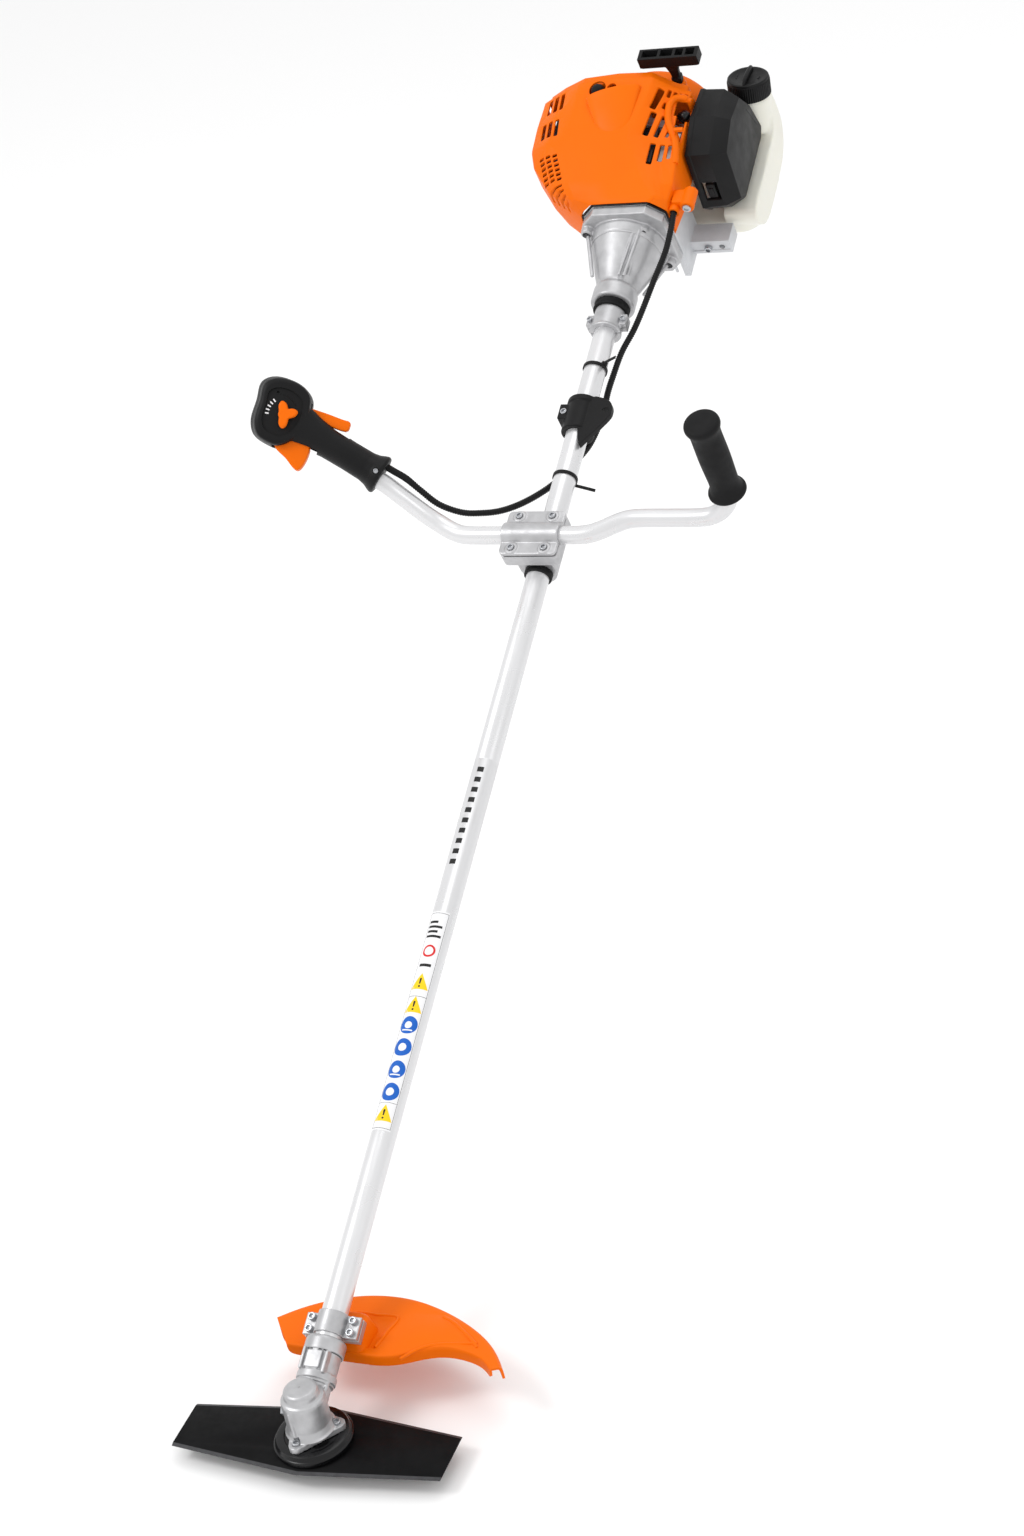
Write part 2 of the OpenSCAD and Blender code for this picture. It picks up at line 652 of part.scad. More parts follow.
shroud_outline = [[-112, -6], [-134, 24], [-134, 74], [-108, 92], [-80, 104], [-25, 112], [26, 107],
    [43, 82], [66, 76], [66, 6], [56, -2]];
shroud_inside = [[-108, 0], [-131, 27], [-131, 72], [-107, 89], [-79, 101], [-25, 109], [24, 104],
    [41, 79], [63, 73], [63, 8], [56, -100], [-100, -100]];
shroud_plan = [[-52, 1572], [-96, 1596], [-120, 1622], [-134, 1656], [-134, 1750], [66, 1750], [66, 1590],
    [58, 1572]];
shroud_plan_inside = [[-51, 1575], [-94, 1599], [-117, 1624], [-131, 1657], [-131, 1751], [63, 1751],
    [63, 1592], [56, 1575]];
module plan(outline) { translate([0, 0, -100]) linear_extrude(300) polygon(outline); }
// Everything under the hood's sloping top, whose front edge is at (y, z).
module under_slope(y, z) {
    translate([0, y, z]) rotate([15.5, 0, 0]) translate([-200, -50, -300]) cube([400, 400, 300]);
}
socket_at = [67, 1574, 38];
module engine_shroud() {
    color(ORANGE) place() {
        difference() {
            intersection() {
                slab_y(1572, shroud_rear_y) polygon(shroud_outline);
                plan(shroud_plan);
                under_slope(1570, 63);
            }
            intersection() {
                slab_y(1575, shroud_rear_y + 1) polygon(shroud_inside);
                plan(shroud_plan_inside);
                under_slope(1573, 60);
            }
            slab_y(1560, 1580) polygon(flange_corner);
            for (k = [0 : 2], y = [1664, 1690])
                block([-140, y, 30 + 14 * k], [-120, y + 20, 38 + 14 * k]);
            for (k = [0 : 3]) block([47, 1640 + 24 * k, 60], [61, 1656 + 24 * k, 90]);
            translate([-50, 1731, 90]) cylinder(r = 14, h = 40);
            translate([58, 1712, 60]) rotate([0, 45, 0]) cylinder(r = 11, h = 40);
            block([56, 1664, 60], [80, 1704, 90]);
            translate([60, 1700, 36]) rotate([0, 90, 0]) cylinder(r = 9, h = 10);
            translate(socket_at - [0, 1, 0]) rotate([-90, 0, 0]) cylinder(r = 5, h = 26);
        }
        translate(socket_at) rotate([-90, 0, 0]) difference() {
            cylinder(r = 7.5, h = 26);
            translate([0, 0, -1]) cylinder(r = 5, h = 14);
        }
    }
}
module carburettor() {
    color(GREY) place() difference() {
        block([38, 1640, 38], [60, 1686, 62]);
        translate([30, cyl_y, 53]) rotate([0, 90, 0]) cylinder(r = 6, h = 40);
    }
}
bulb_at = [57, 1712, 62];
module primer_bulb() {
    color(BLACK) place() translate(bulb_at) rotate([0, 45, 0]) {
        cylinder(r = 8, h = 4);
        translate([0, 0, 4]) intersection() { sphere(r = 8); translate([-9, -9, -0.1]) cube([18, 18, 9]); }
    }
}
module choke_lever() {
    color(ORANGE) place() {
        translate([60.4, 1671, 47]) rotate([0, 90, 0]) cylinder(r = 4, h = 2);
        block([60.4, 1668.5, 46], [62.4, 1673.5, 86]);
        block([60.4, 1668.5, 82], [72, 1673.5, 86]);
    }
}
cover_outline = [[1648, -30], [1660, -43], [1772, -43], [1784, -30], [1774, 18], [1753, 52], [1700, 58],
    [1656, 44]];
cover_in = [[1652, -28], [1662, -39], [1770, -39], [1780, -29], [1770, 17], [1751, 48], [1701, 54],
    [1660, 41]];
module outline_x(x0, x1) { translate([x0, 0, 0]) rotate([90, 0, 90]) linear_extrude(x1 - x0) children(); }
module air_filter() {
    color([0.8, 0.78, 0.7]) place() outline_x(74, 104) polygon([[1684, -28], [1764, -28], [1764, 20],
        [1748, 42], [1700, 44], [1684, 26]]);
}
module filter_cover() {
    color(BLACK) place() difference() {
        union() {
            outline_x(68, 108) polygon(cover_outline);
            outline_x(107.9, 118) polygon([[1662, -27], [1672, -37], [1768, -37], [1778, -27], [1768, 16],
                [1747, 45], [1704, 50], [1668, 38]]);
        }
        outline_x(60, 106) polygon(cover_in);
        block([76, 1640, -20], [100, 1655, 8]);
    }
}
tank_low = [-60, 1664, -110];
tank_high = [132, 1830, -32];
module fuel_tank() {
    color(MILK) place() difference() {
        union() {
            block(tank_low, [122, 1830, -80]);
            block([84, 1664, -90], [tank_high[0], 1830, -46]);
            block([84, 1794, -48], tank_high);
            translate(cap_at) rotate(cap_turn) translate([0, 0, -54]) cylinder(r = 17, h = 56);
        }
        block(tank_low + [3, 3, 3], [119, 1827, -83]);
        block([87, 1667, -88], [129, 1827, -49]);
        block([87, 1797, -60], [129, 1827, -35]);
        translate(cap_at) rotate(cap_turn) translate([0, 0, -51]) cylinder(r = 14.5, h = 60);
    }
}
module fuel_cap() {
    color(BLACK) place() translate(cap_at) rotate(cap_turn) {
        difference() {
            translate([0, 0, -10]) cylinder(d = cap_d, h = 22);
            translate([0, 0, -11]) cylinder(r = 17.4, h = 15.5);
        }
        translate([0, 0, -6]) cylinder(r = 14, h = 12);
        translate([-3, -cap_d / 2 + 2, 11.9]) cube([6, cap_d - 4, 7]);
    }
}
starter_r = 66;
module starter_housing() {
    color(ORANGE) place() difference() {
        union() {
            rod(1750.5, 1800, starter_r);
            slab_y(1750.5, 1758) polygon(shroud_outline);
            translate([rope_x, rope_y, 38]) cylinder(r = 9, h = 30);
        }
        difference() {
            rod(1750, 1797, starter_r - 3);
            rod(1762, 1798, 7 - run_gap);
        }
        for (k = [0 : 11]) along(1790) rotate(30 * k) translate([30, -3, 0]) cube([30, 6, 20]);
        translate([rope_x, rope_y, 40]) cylinder(r = 3, h = 40);
    }
}
pulley_r = 34;
module starter_pulley() {
    color(BLACK) place() difference() {
        union() {
            rod(1764, 1780, pulley_r - 4);
            rod(1764, 1767, pulley_r);
            rod(1777, 1780, pulley_r);
        }
        rod(1763, 1781, 7);
    }
}
module starter_grip() {
    color(BLACK) place() translate([rope_x, rope_y, 68.4]) difference() {
        union() {
            cylinder(r1 = 6.5, r2 = 8, h = 34);
            block([-40, -9, 33.5], [40, 9, 50]);
        }
        translate([0, 0, -1]) cylinder(r = 2.2, h = 30);
        for (x = [-34, 10]) block([x, -5.5, 40], [x + 24, 5.5, 52]);
    }
}
module starter_rope() {
    color(MILK) place() translate([rope_x, rope_y, 30]) cylinder(r = 1.8, h = 66);
}

gearbox_housing();
gearbox_plug();
pinion_shaft();
gearbox_bearings();
bevel_gear();
spindle();
winding_guard();
thrust_plate();
blade();
rider_plate();
blade_nut();
guard();
guard_bracket();
guard_screws();
drive_tube();
drive_shaft();
shaft_bushes();
safety_label();
handlebar_clamp_base();
handlebar_clamp_cap();
clamp_screws();
clamp_rubber_ring();
handlebar();
control_handle_rear();
control_handle_front();
throttle_trigger();
throttle_lockout();
stop_switch();
rubber_grip();
throttle_conduit();
cable_ties();
harness_clamp();
engine_clamp_collar();
vibration_ring();
clutch_housing();
housing_screws();
clutch_drum();
clutch_shoes();
crankshaft();
crank_bearings();
flywheel();
crankcase();
cylinder_block();
piston();
muffler();
spark_plug();
plug_boot();
engine_shroud();
carburettor();
primer_bulb();
choke_lever();
air_filter();
filter_cover();
fuel_tank();
fuel_cap();
starter_housing();
starter_pulley();
starter_grip();
starter_rope();
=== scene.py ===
"""Brush cutter on a plain pale floor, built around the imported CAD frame.

Pieces are drawn in millimetres in one of three frames and carried into the row frame in metres:
MACHINE has the drive tube along +Y from the blade to the engine, HEAD has the blade spindle on +Z,
and HANDLE has the control handle's grip on +Z.
"""

import math

import bmesh
import bpy
from mathutils import Euler, Matrix, Vector


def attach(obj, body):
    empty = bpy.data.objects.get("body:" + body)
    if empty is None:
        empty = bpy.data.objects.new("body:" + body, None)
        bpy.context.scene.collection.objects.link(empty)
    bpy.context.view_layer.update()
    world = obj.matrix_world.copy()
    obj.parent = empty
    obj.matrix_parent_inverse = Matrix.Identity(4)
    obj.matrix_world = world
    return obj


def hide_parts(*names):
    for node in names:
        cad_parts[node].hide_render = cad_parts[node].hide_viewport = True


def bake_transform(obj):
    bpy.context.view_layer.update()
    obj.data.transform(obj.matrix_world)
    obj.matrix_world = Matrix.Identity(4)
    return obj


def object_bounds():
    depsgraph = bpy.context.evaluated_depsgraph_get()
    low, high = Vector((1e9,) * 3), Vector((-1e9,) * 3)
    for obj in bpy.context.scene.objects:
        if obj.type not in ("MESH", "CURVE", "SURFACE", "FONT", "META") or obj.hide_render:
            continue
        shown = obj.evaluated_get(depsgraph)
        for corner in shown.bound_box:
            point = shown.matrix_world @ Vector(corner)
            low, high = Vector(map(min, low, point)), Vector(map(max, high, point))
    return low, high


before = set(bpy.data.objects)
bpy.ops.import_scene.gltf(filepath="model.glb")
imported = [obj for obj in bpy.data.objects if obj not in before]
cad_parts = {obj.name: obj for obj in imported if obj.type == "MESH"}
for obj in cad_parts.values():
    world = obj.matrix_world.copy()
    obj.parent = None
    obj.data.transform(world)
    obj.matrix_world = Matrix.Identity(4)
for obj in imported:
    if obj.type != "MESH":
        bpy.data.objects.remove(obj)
cad_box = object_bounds()

TILT = 26  # degrees that the tube rises from the floor
EYE = Vector((36, 1280, 12))  # the carrying eye in MACHINE, and the row frame's origin


def turn(x, y, z):
    """Rotation in degrees about X, then Y, then Z."""
    return Euler([math.radians(a) for a in (x, y, z)], "XYZ").to_matrix().to_4x4()


def at(x, y, z):
    return Matrix.Translation((x, y, z))


MACHINE = Matrix.Scale(0.001, 4) @ turn(TILT, 0, 0) @ at(*-EYE)
HEAD = MACHINE @ turn(-TILT, 0, 0)
HANDLE_SCREW_Z = 12
ON_BAR = at(-179, 1112, 105) @ turn(27.5, -51.8, -50.9)
HANDLE = MACHINE @ ON_BAR
TO_HEAD = turn(TILT, 0, 0)
ALONG = turn(-90, 0, 0)  # Z to the machine's +Y, towards the engine
DOWN = turn(90, 0, 0)  # Z to -Y, towards the blade
ACROSS = turn(0, 90, 0)  # Z to +X

# ---------------------------------------------------------------- camera, floor and light

scene = bpy.context.scene
camera = bpy.data.objects.new("camera", bpy.data.cameras.new("camera"))
camera.data.lens = 69.56
camera.data.sensor_width = 36
camera.data.clip_end = 100
right = Vector((0.91907609, 0.34663392, -0.1874675))
up = Vector((-0.0258022, 0.52761937, 0.84908895))
back = right.cross(up)
camera.matrix_world = at(1.32422, -3.06554, 1.43519) @ Matrix((right, up, back)).transposed().to_4x4()
scene.collection.objects.link(camera)
scene.camera = camera
scene.view_settings.view_transform = "Standard"

world = bpy.data.worlds.new("studio")
world.use_nodes = True
world.node_tree.nodes["Background"].inputs["Color"].default_value = (1, 1, 1, 1)
world.node_tree.nodes["Background"].inputs["Strength"].default_value = 0.95
scene.world = world


def light(name, place, aim, size, power):
    data = bpy.data.lights.new(name, "AREA")
    data.shape = "DISK"
    data.size = size
    data.energy = power
    obj = bpy.data.objects.new(name, data)
    obj.location = place
    obj.rotation_euler = (Vector(aim) - Vector(place)).to_track_quat("-Z", "Y").to_euler()
    scene.collection.objects.link(obj)


light("key", (-2.6, -2.2, 3.6), (0, -0.3, 0), 1.6, 62)
light("fill", (3.4, -2.6, 1.8), (0, -0.3, 0), 2.4, 12)
light("top", (0.3, 0.6, 4.2), (0, -0.2, 0), 3.0, 26)

# ---------------------------------------------------------------- materials


ROUGH_SPREAD = 0.06


def material(name, colour, rough, metal=0.0, grain=(0, 0), mottle=(40, 0.0), edge_highlight=0.0, scatter=0.0,
             specular=0.5):
    """A shader with colour variation, a fine bump of its own scale, and a painted highlight that lightens sharp
    convex edges.

    grain and mottle are pairs of noise scale and strength.
    """
    mat = bpy.data.materials.new(name)
    mat.use_nodes = True
    tree = mat.node_tree
    shader = tree.nodes["Principled BSDF"]
    place = tree.nodes.new("ShaderNodeTexCoord").outputs["Object"]

    def noise(scale, detail):
        node = tree.nodes.new("ShaderNodeTexNoise")
        node.inputs["Scale"].default_value = scale
        node.inputs["Detail"].default_value = detail
        tree.links.new(place, node.inputs["Vector"])
        return node.outputs["Fac"]

    def spread(source, low, high):
        node = tree.nodes.new("ShaderNodeMapRange")
        node.inputs["From Min"].default_value = 0.3
        node.inputs["From Max"].default_value = 0.7
        node.inputs["To Min"].default_value = low
        node.inputs["To Max"].default_value = high
        tree.links.new(source, node.inputs["Value"])
        return node.outputs["Result"]

    cloud = noise(mottle[0], 5)
    tint = tree.nodes.new("ShaderNodeMix")
    tint.data_type = "RGBA"
    tint.inputs["A"].default_value = (*[c * (1 - mottle[1]) for c in colour], 1)
    tint.inputs["B"].default_value = (*[min(1, c * (1 + mottle[1])) for c in colour], 1)
    tree.links.new(spread(cloud, 0, 1), tint.inputs["Factor"])
    base = tint.outputs["Result"]
    # painted highlight: the colour is lightened on sharp convex edges, found from pointiness
    if edge_highlight:
        edge = tree.nodes.new("ShaderNodeNewGeometry")
        ramp = tree.nodes.new("ShaderNodeMapRange")
        ramp.inputs["From Min"].default_value = 0.52
        ramp.inputs["From Max"].default_value = 0.62
        ramp.inputs["To Max"].default_value = edge_highlight
        tree.links.new(edge.outputs["Pointiness"], ramp.inputs["Value"])
        highlit = tree.nodes.new("ShaderNodeMix")
        highlit.data_type = "RGBA"
        highlit.inputs["B"].default_value = (*[min(1, 0.12 + c * 1.35) for c in colour], 1)
        tree.links.new(base, highlit.inputs["A"])
        tree.links.new(ramp.outputs["Result"], highlit.inputs["Factor"])
        base = highlit.outputs["Result"]
    tree.links.new(base, shader.inputs["Base Color"])
    tree.links.new(spread(noise(mottle[0] * 3, 4), rough - ROUGH_SPREAD, rough + ROUGH_SPREAD),
                   shader.inputs["Roughness"])
    shader.inputs["Metallic"].default_value = metal
    shader.inputs["Specular IOR Level"].default_value = specular
    if scatter:
        shader.inputs["Subsurface Weight"].default_value = scatter
        shader.inputs["Subsurface Radius"].default_value = (0.012, 0.011, 0.009)
    if grain[1]:
        bump = tree.nodes.new("ShaderNodeBump")
        bump.inputs["Strength"].default_value = grain[1]
        bump.inputs["Distance"].default_value = 0.0004
        tree.links.new(noise(grain[0], 6), bump.inputs["Height"])
        tree.links.new(bump.outputs["Normal"], shader.inputs["Normal"])
    return mat


ORANGE = material("orange_plastic", (0.83, 0.142, 0.0004), 0.42, grain=(2600, 0.08), mottle=(9, 0.04),
                  specular=0.1)
BLACK = material("black_plastic", (0.004, 0.004, 0.0044), 0.46, grain=(2400, 0.2), mottle=(18, 0.25), edge_highlight=0.05,
                 specular=0.2)
GLOSS_BLACK = material("black_gloss", (0.003, 0.003, 0.0036), 0.25, grain=(900, 0.05), mottle=(14, 0.2),
                       specular=0.32)
RUBBER = material("black_rubber", (0.0045, 0.0045, 0.005), 0.62, grain=(3200, 0.3), mottle=(25, 0.3), edge_highlight=0.05,
                  specular=0.2)
CAST = material("cast_alloy", (0.48, 0.48, 0.49), 0.4, metal=0.7, grain=(1500, 0.22), mottle=(60, 0.12),
                edge_highlight=0.2)
GREY_CAST = material("grey_casting", (0.56, 0.57, 0.59), 0.5, metal=0.2, grain=(1100, 0.2), mottle=(45, 0.07),
                     edge_highlight=0.15)
TUBE = material("tube_alloy", (0.72, 0.72, 0.73), 0.3, metal=0.55, grain=(2200, 0.03), mottle=(8, 0.02))
STEEL = material("steel", (0.46, 0.47, 0.49), 0.3, metal=0.9, grain=(1200, 0.08), mottle=(90, 0.1), edge_highlight=0.15)
# dark steel colour; on the cylinder block and the muffler it is also painted shade, so that the vents in the
# hood look black
DARK_STEEL_AND_SHADE = material("dark_steel_and_shade", (0.05, 0.05, 0.055), 0.45, metal=0.6, grain=(900, 0.2), mottle=(60, 0.3))
BLADE_BLACK = material("blade_black", (0.004, 0.004, 0.0044), 0.5, grain=(1400, 0.12), mottle=(50, 0.3),
                       specular=0.08)
EDGE_STEEL = material("blade_edge", (0.035, 0.035, 0.038), 0.38, metal=0.4, grain=(2000, 0.15),
                      mottle=(120, 0.2))
TANK = material("tank_plastic", (0.80, 0.79, 0.71), 0.38, grain=(700, 0.05), mottle=(14, 0.03), scatter=0.35)
PAPER = material("label_film", (0.82, 0.82, 0.83), 0.3, grain=(600, 0.02), mottle=(30, 0.01))
PRINTED = dict(grain=(600, 0.02), specular=0.3)
YELLOW = material("label_yellow", (0.9, 0.6, 0.005), 0.32, mottle=(60, 0.02), **PRINTED)
BLUE = material("label_blue", (0.005, 0.11, 0.5), 0.32, mottle=(60, 0.04), **PRINTED)
RED = material("label_red", (0.65, 0.015, 0.015), 0.32, mottle=(60, 0.04), **PRINTED)
INK = material("label_ink", (0.01, 0.01, 0.01), 0.35, mottle=(60, 0.05), **PRINTED)
FELT = material("filter_felt", (0.62, 0.56, 0.42), 0.9, grain=(1800, 0.6), mottle=(60, 0.12))
ROPE = material("rope_fibre", (0.75, 0.73, 0.68), 0.8, grain=(2600, 0.7), mottle=(300, 0.15))
CERAMIC = material("ceramic", (0.85, 0.85, 0.8), 0.15, grain=(500, 0.02), mottle=(30, 0.02))
FLOOR = bpy.data.materials.new("floor")
FLOOR.use_nodes = True
FLOOR.node_tree.nodes["Principled BSDF"].inputs["Base Color"].default_value = (0.93, 0.93, 0.93, 1)
FLOOR.node_tree.nodes["Principled BSDF"].inputs["Roughness"].default_value = 0.9

floor = bpy.data.objects.new("floor", bpy.data.meshes.new("floor"))
FLOOR_HALF = 30
FLOOR_Z = cad_box[0][2] - 0.0005
floor.data.from_pydata([(x * FLOOR_HALF, y * FLOOR_HALF, FLOOR_Z)
                        for x, y in ((-1, -1), (1, -1), (1, 1), (-1, 1))], [], [(0, 1, 2, 3)])
floor.data.materials.append(FLOOR)
scene.collection.objects.link(floor)

# ---------------------------------------------------------------- solids, as (points, faces)


def moved(solid, matrix):
    return [matrix @ Vector(v) for v in solid[0]], solid[1]


def joined(*solids):
    verts, faces = [], []
    for v, f in solids:
        faces += [tuple(i + len(verts) for i in face) for face in f]
        verts += [Vector(p) for p in v]
    return verts, faces


def circle(r, z, sides):
    return [(r * math.cos(math.tau * k / sides), r * math.sin(math.tau * k / sides), z) for k in range(sides)]


def loft(rings, closed=False):
    """Skin through rings of equal length, capped, or closed by joining the last ring to the first."""
    n = len(rings[0])
    verts = [Vector(p) for ring in rings for p in ring]
    count = len(rings) if closed else len(rings) - 1
    faces = []
    for r in range(count):
        a, b = r * n, (r + 1) % len(rings) * n
        faces += [(a + k, a + (k + 1) % n, b + (k + 1) % n, b + k) for k in range(n)]
    if not closed:
        faces += [tuple(range(n - 1, -1, -1)), tuple((len(rings) - 1) * n + k for k in range(n))]
    return verts, faces


def lathe(profile, sides=64, closed=False):
    """Revolves (r, z) pairs about Z; closed makes a hollow ring of them."""
    return loft([circle(r, z, sides) for r, z in profile], closed)


def spun(profile, sides=64, closed=False):
    """The same about the machine's Y."""
    return moved(lathe(profile, sides, closed), ALONG)


def rod(y0, y1, r, sides=64):
    """A cylinder along the machine's Y."""
    return spun([(r, y0), (r, y1)], sides)


def cylinder(r, z0, z1, sides=48):
    return lathe([(r, z0), (r, z1)], sides)


def prism(outline, z0, z1):
    return loft([[(x, y, z0) for x, y in outline], [(x, y, z1) for x, y in outline]])


def prism_y(outline, y0, y1):
    """An outline in X and Z drawn out along Y."""
    return loft([[(x, y0, z) for x, z in outline], [(x, y1, z) for x, z in outline]])


def prism_x(outline, x0, x1):
    return loft([[(x0, y, z) for y, z in outline], [(x1, y, z) for y, z in outline]])


def block(a, b):
    return prism([(a[0], a[1]), (b[0], a[1]), (b[0], b[1]), (a[0], b[1])], a[2], b[2])


def between(a, b, c, d, t):
    """The Catmull-Rom point a share t of the way from b to c."""
    return 0.5 * (2 * b + (c - a) * t + (2 * a - 5 * b + 4 * c - d) * t * t + (3 * b - a - 3 * c + d) * t ** 3)


def curve_through(points, steps):
    """A smooth open line through the given points."""
    pts = [Vector(p) for p in points]
    out = []
    for i in range(len(pts) - 1):
        a, b, c, d = pts[max(i - 1, 0)], pts[i], pts[i + 1], pts[min(i + 2, len(pts) - 1)]
        out += [between(a, b, c, d, s / steps) for s in range(steps)]
    return out + [pts[-1]]


def even(points, gap):
    """The same line with points a fixed gap apart."""
    out, carry = [points[0]], 0.0
    for a, b in zip(points, points[1:]):
        span = (b - a).length
        d = gap - carry
        while d <= span:
            out.append(a.lerp(b, d / span))
            d += gap
        carry = span - (d - gap)
    return out


def hose(points, radius, sides=16):
    """A tube along points; radius is a number or a function of the point's index."""
    rings = []
    side = Vector((0.3, 0.1, 1))
    for i, p in enumerate(points):
        ahead = (points[min(i + 1, len(points) - 1)] - points[max(i - 1, 0)]).normalized()
        side = (side - ahead * side.dot(ahead)).normalized()
        other = ahead.cross(side)
        r = radius(i) if callable(radius) else radius
        rings.append([p + r * (math.cos(math.tau * k / sides) * side + math.sin(math.tau * k / sides) * other)
                      for k in range(sides)])
    return loft(rings)


def rounded(width, height, radius, steps=4):
    """A rectangle with round corners, centred on the origin."""
    out = []
    for sx, sy, start in ((1, 1, 0), (-1, 1, 90), (-1, -1, 180), (1, -1, 270)):
        for k in range(steps + 1):
            a = math.radians(start + 90 * k / steps)
            out.append((sx * (width / 2 - radius) + radius * math.cos(a),
                        sy * (height / 2 - radius) + radius * math.sin(a)))
    return out


def smooth_outline(points, steps=4):
    """A closed outline rounded through its own points."""
    n = len(points)
    pts = [Vector((p[0], p[1], 0)) for p in points]
    out = []
    for i in range(n):
        a, b, c, d = pts[i - 1], pts[i], pts[(i + 1) % n], pts[(i + 2) % n]
        out += [tuple(between(a, b, c, d, s / steps).xy) for s in range(steps)]
    return out


def screw(d, head_h=None, sides=32):
    """Socket head screw standing on z = 0 with a hexagon recess."""
    h = head_h or d
    head_r, flat, chamfer = d * 0.85, d * 0.48, 0.5
    rings = [circle(q, z, sides)
             for q, z in ((0.001, 0), (head_r, 0), (head_r, h - chamfer), (head_r - chamfer, h))]

    def hexed(q, z):
        ring = []
        for k in range(sides):
            a = math.tau * k / sides
            reach = q / math.cos((a % (math.tau / 6)) - math.tau / 12)
            ring.append((reach * math.cos(a), reach * math.sin(a), z))
        return ring

    rings += [hexed(flat, h), hexed(flat, h * 0.45), hexed(0.01, h * 0.4)]
    return loft(rings)


# ---------------------------------------------------------------- pieces


WELD = 0.002  # mm


def linked(name, solid):
    mesh = bpy.data.meshes.new(name)
    mesh.from_pydata([tuple(v) for v in solid[0]], [], solid[1])
    bm = bmesh.new()
    bm.from_mesh(mesh)
    bmesh.ops.remove_doubles(bm, verts=bm.verts, dist=WELD)
    bmesh.ops.recalc_face_normals(bm, faces=bm.faces)
    bm.to_mesh(mesh)
    bm.free()
    obj = bpy.data.objects.new(name, mesh)
    scene.collection.objects.link(obj)
    return obj


def face_outwards(mesh):
    """Turns a sheet's faces away from its middle, so that its thickness goes inwards."""
    middle = sum((v.co for v in mesh.vertices), Vector()) / len(mesh.vertices)
    if sum(p.area * p.normal.dot(p.center - middle) for p in mesh.polygons) < 0:
        mesh.flip_normals()


def bake(obj):
    bpy.context.view_layer.update()
    deps = bpy.context.evaluated_depsgraph_get()
    mesh = bpy.data.meshes.new_from_object(obj.evaluated_get(deps))
    obj.modifiers.clear()
    old = obj.data
    obj.data = mesh
    bpy.data.meshes.remove(old)


def add(obj, kind, **values):
    mod = obj.modifiers.new(kind.lower(), kind)
    for key, value in values.items():
        setattr(mod, key, value)
    return mod


def dressed(obj, mat, sharp):
    obj.data.materials.clear()
    obj.data.materials.append(mat)
    for face in obj.data.polygons:
        face.use_smooth = True
        face.material_index = 0
    obj.data.set_sharp_from_angle(angle=math.radians(sharp))


def piece(name, solid, mat, body="root", replaces=None, where=MACHINE, bevel=0, segments=3, bevel_angle=30,
          subdiv=0, thick=0, voxel=0, relax=0, cut=None, shape=None, sharp=35, after_bevel=0):
    """One finished piece. Lengths are in millimetres; where carries it to the row frame at the end."""
    obj = linked(name, solid)
    if thick:
        face_outwards(obj.data)
    if bevel:
        add(obj, "BEVEL", width=bevel, segments=segments, limit_method="ANGLE",
            angle_limit=math.radians(bevel_angle))
    if subdiv:
        add(obj, "SUBSURF", levels=subdiv, render_levels=subdiv)
    if shape:
        bake(obj)
        for v in obj.data.vertices:
            v.co = shape(v.co)
    if thick:
        add(obj, "SOLIDIFY", thickness=thick, offset=-1, use_even_offset=True)
    if voxel:
        bake(obj)
        add(obj, "REMESH", mode="VOXEL", voxel_size=voxel, adaptivity=0.0)
    if relax:
        add(obj, "SMOOTH", factor=0.5, iterations=relax)
    if cut:
        bake(obj)
        tool = linked(name + "_cut", cut)
        add(obj, "BOOLEAN", operation="DIFFERENCE", solver="EXACT", object=tool, use_self=True)
        bake(obj)
        bpy.data.objects.remove(tool)
    if after_bevel:
        add(obj, "BEVEL", width=after_bevel, segments=2, limit_method="ANGLE", angle_limit=math.radians(40))
    bake(obj)
    obj.data.transform(where)
    dressed(obj, mat, sharp)
    if body:
        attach(obj, body)
    if replaces:
        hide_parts(replaces)
    return obj


def finish_node(node, mat):
    """A CAD node that is already the right shape gets its material."""
    dressed(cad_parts[node], mat, 30)


def softened(node, mat, body="root", width=0.6):
    """A copy of a plain CAD solid with rounded edges, standing for it."""
    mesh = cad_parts[node].data.copy()
    obj = bpy.data.objects.new("soft_" + node, mesh)
    scene.collection.objects.link(obj)
    bm = bmesh.new()
    bm.from_mesh(mesh)
    bmesh.ops.remove_doubles(bm, verts=bm.verts, dist=2e-6)
    bmesh.ops.dissolve_limit(bm, angle_limit=math.radians(1.0), verts=bm.verts, edges=bm.edges)
    bm.to_mesh(mesh)
    bm.free()
    add(obj, "BEVEL", width=width / 1000, segments=2, limit_method="ANGLE", angle_limit=math.radians(35),
        use_clamp_overlap=True)
    bake(obj)
    dressed(obj, mat, 32)
    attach(obj, body)
    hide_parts(node)
    return obj


# ---------------------------------------------------------------- throttle conduit

CONDUIT = [(67, 1586, 38), (67, 1572, 37.5), (66, 1552, 31), (61, 1525, 20), (50, 1490, 8), (39, 1455, -5),
           (31, 1428, -12), (20, 1398, -18), (14, 1365, -24), (12, 1340, -26), (12, 1312, -29), (8, 1290, -33),
           (2, 1262, -33), (-8, 1230, -26), (-20, 1200, -20), (-34, 1175, -12), (-50, 1148, 2), (-66, 1128, 16),
           (-84, 1117, 27), (-104, 1111, 37), (-126, 1109, 56), (-142, 1112, 80), (-155, 1116, 98),
           (-170, 1120, 109), (-190, 1126, 123)]
CONDUIT_STEP = 0.75
CONDUIT_R = 4.2
conduit_line = even(curve_through(CONDUIT, 12), CONDUIT_STEP)


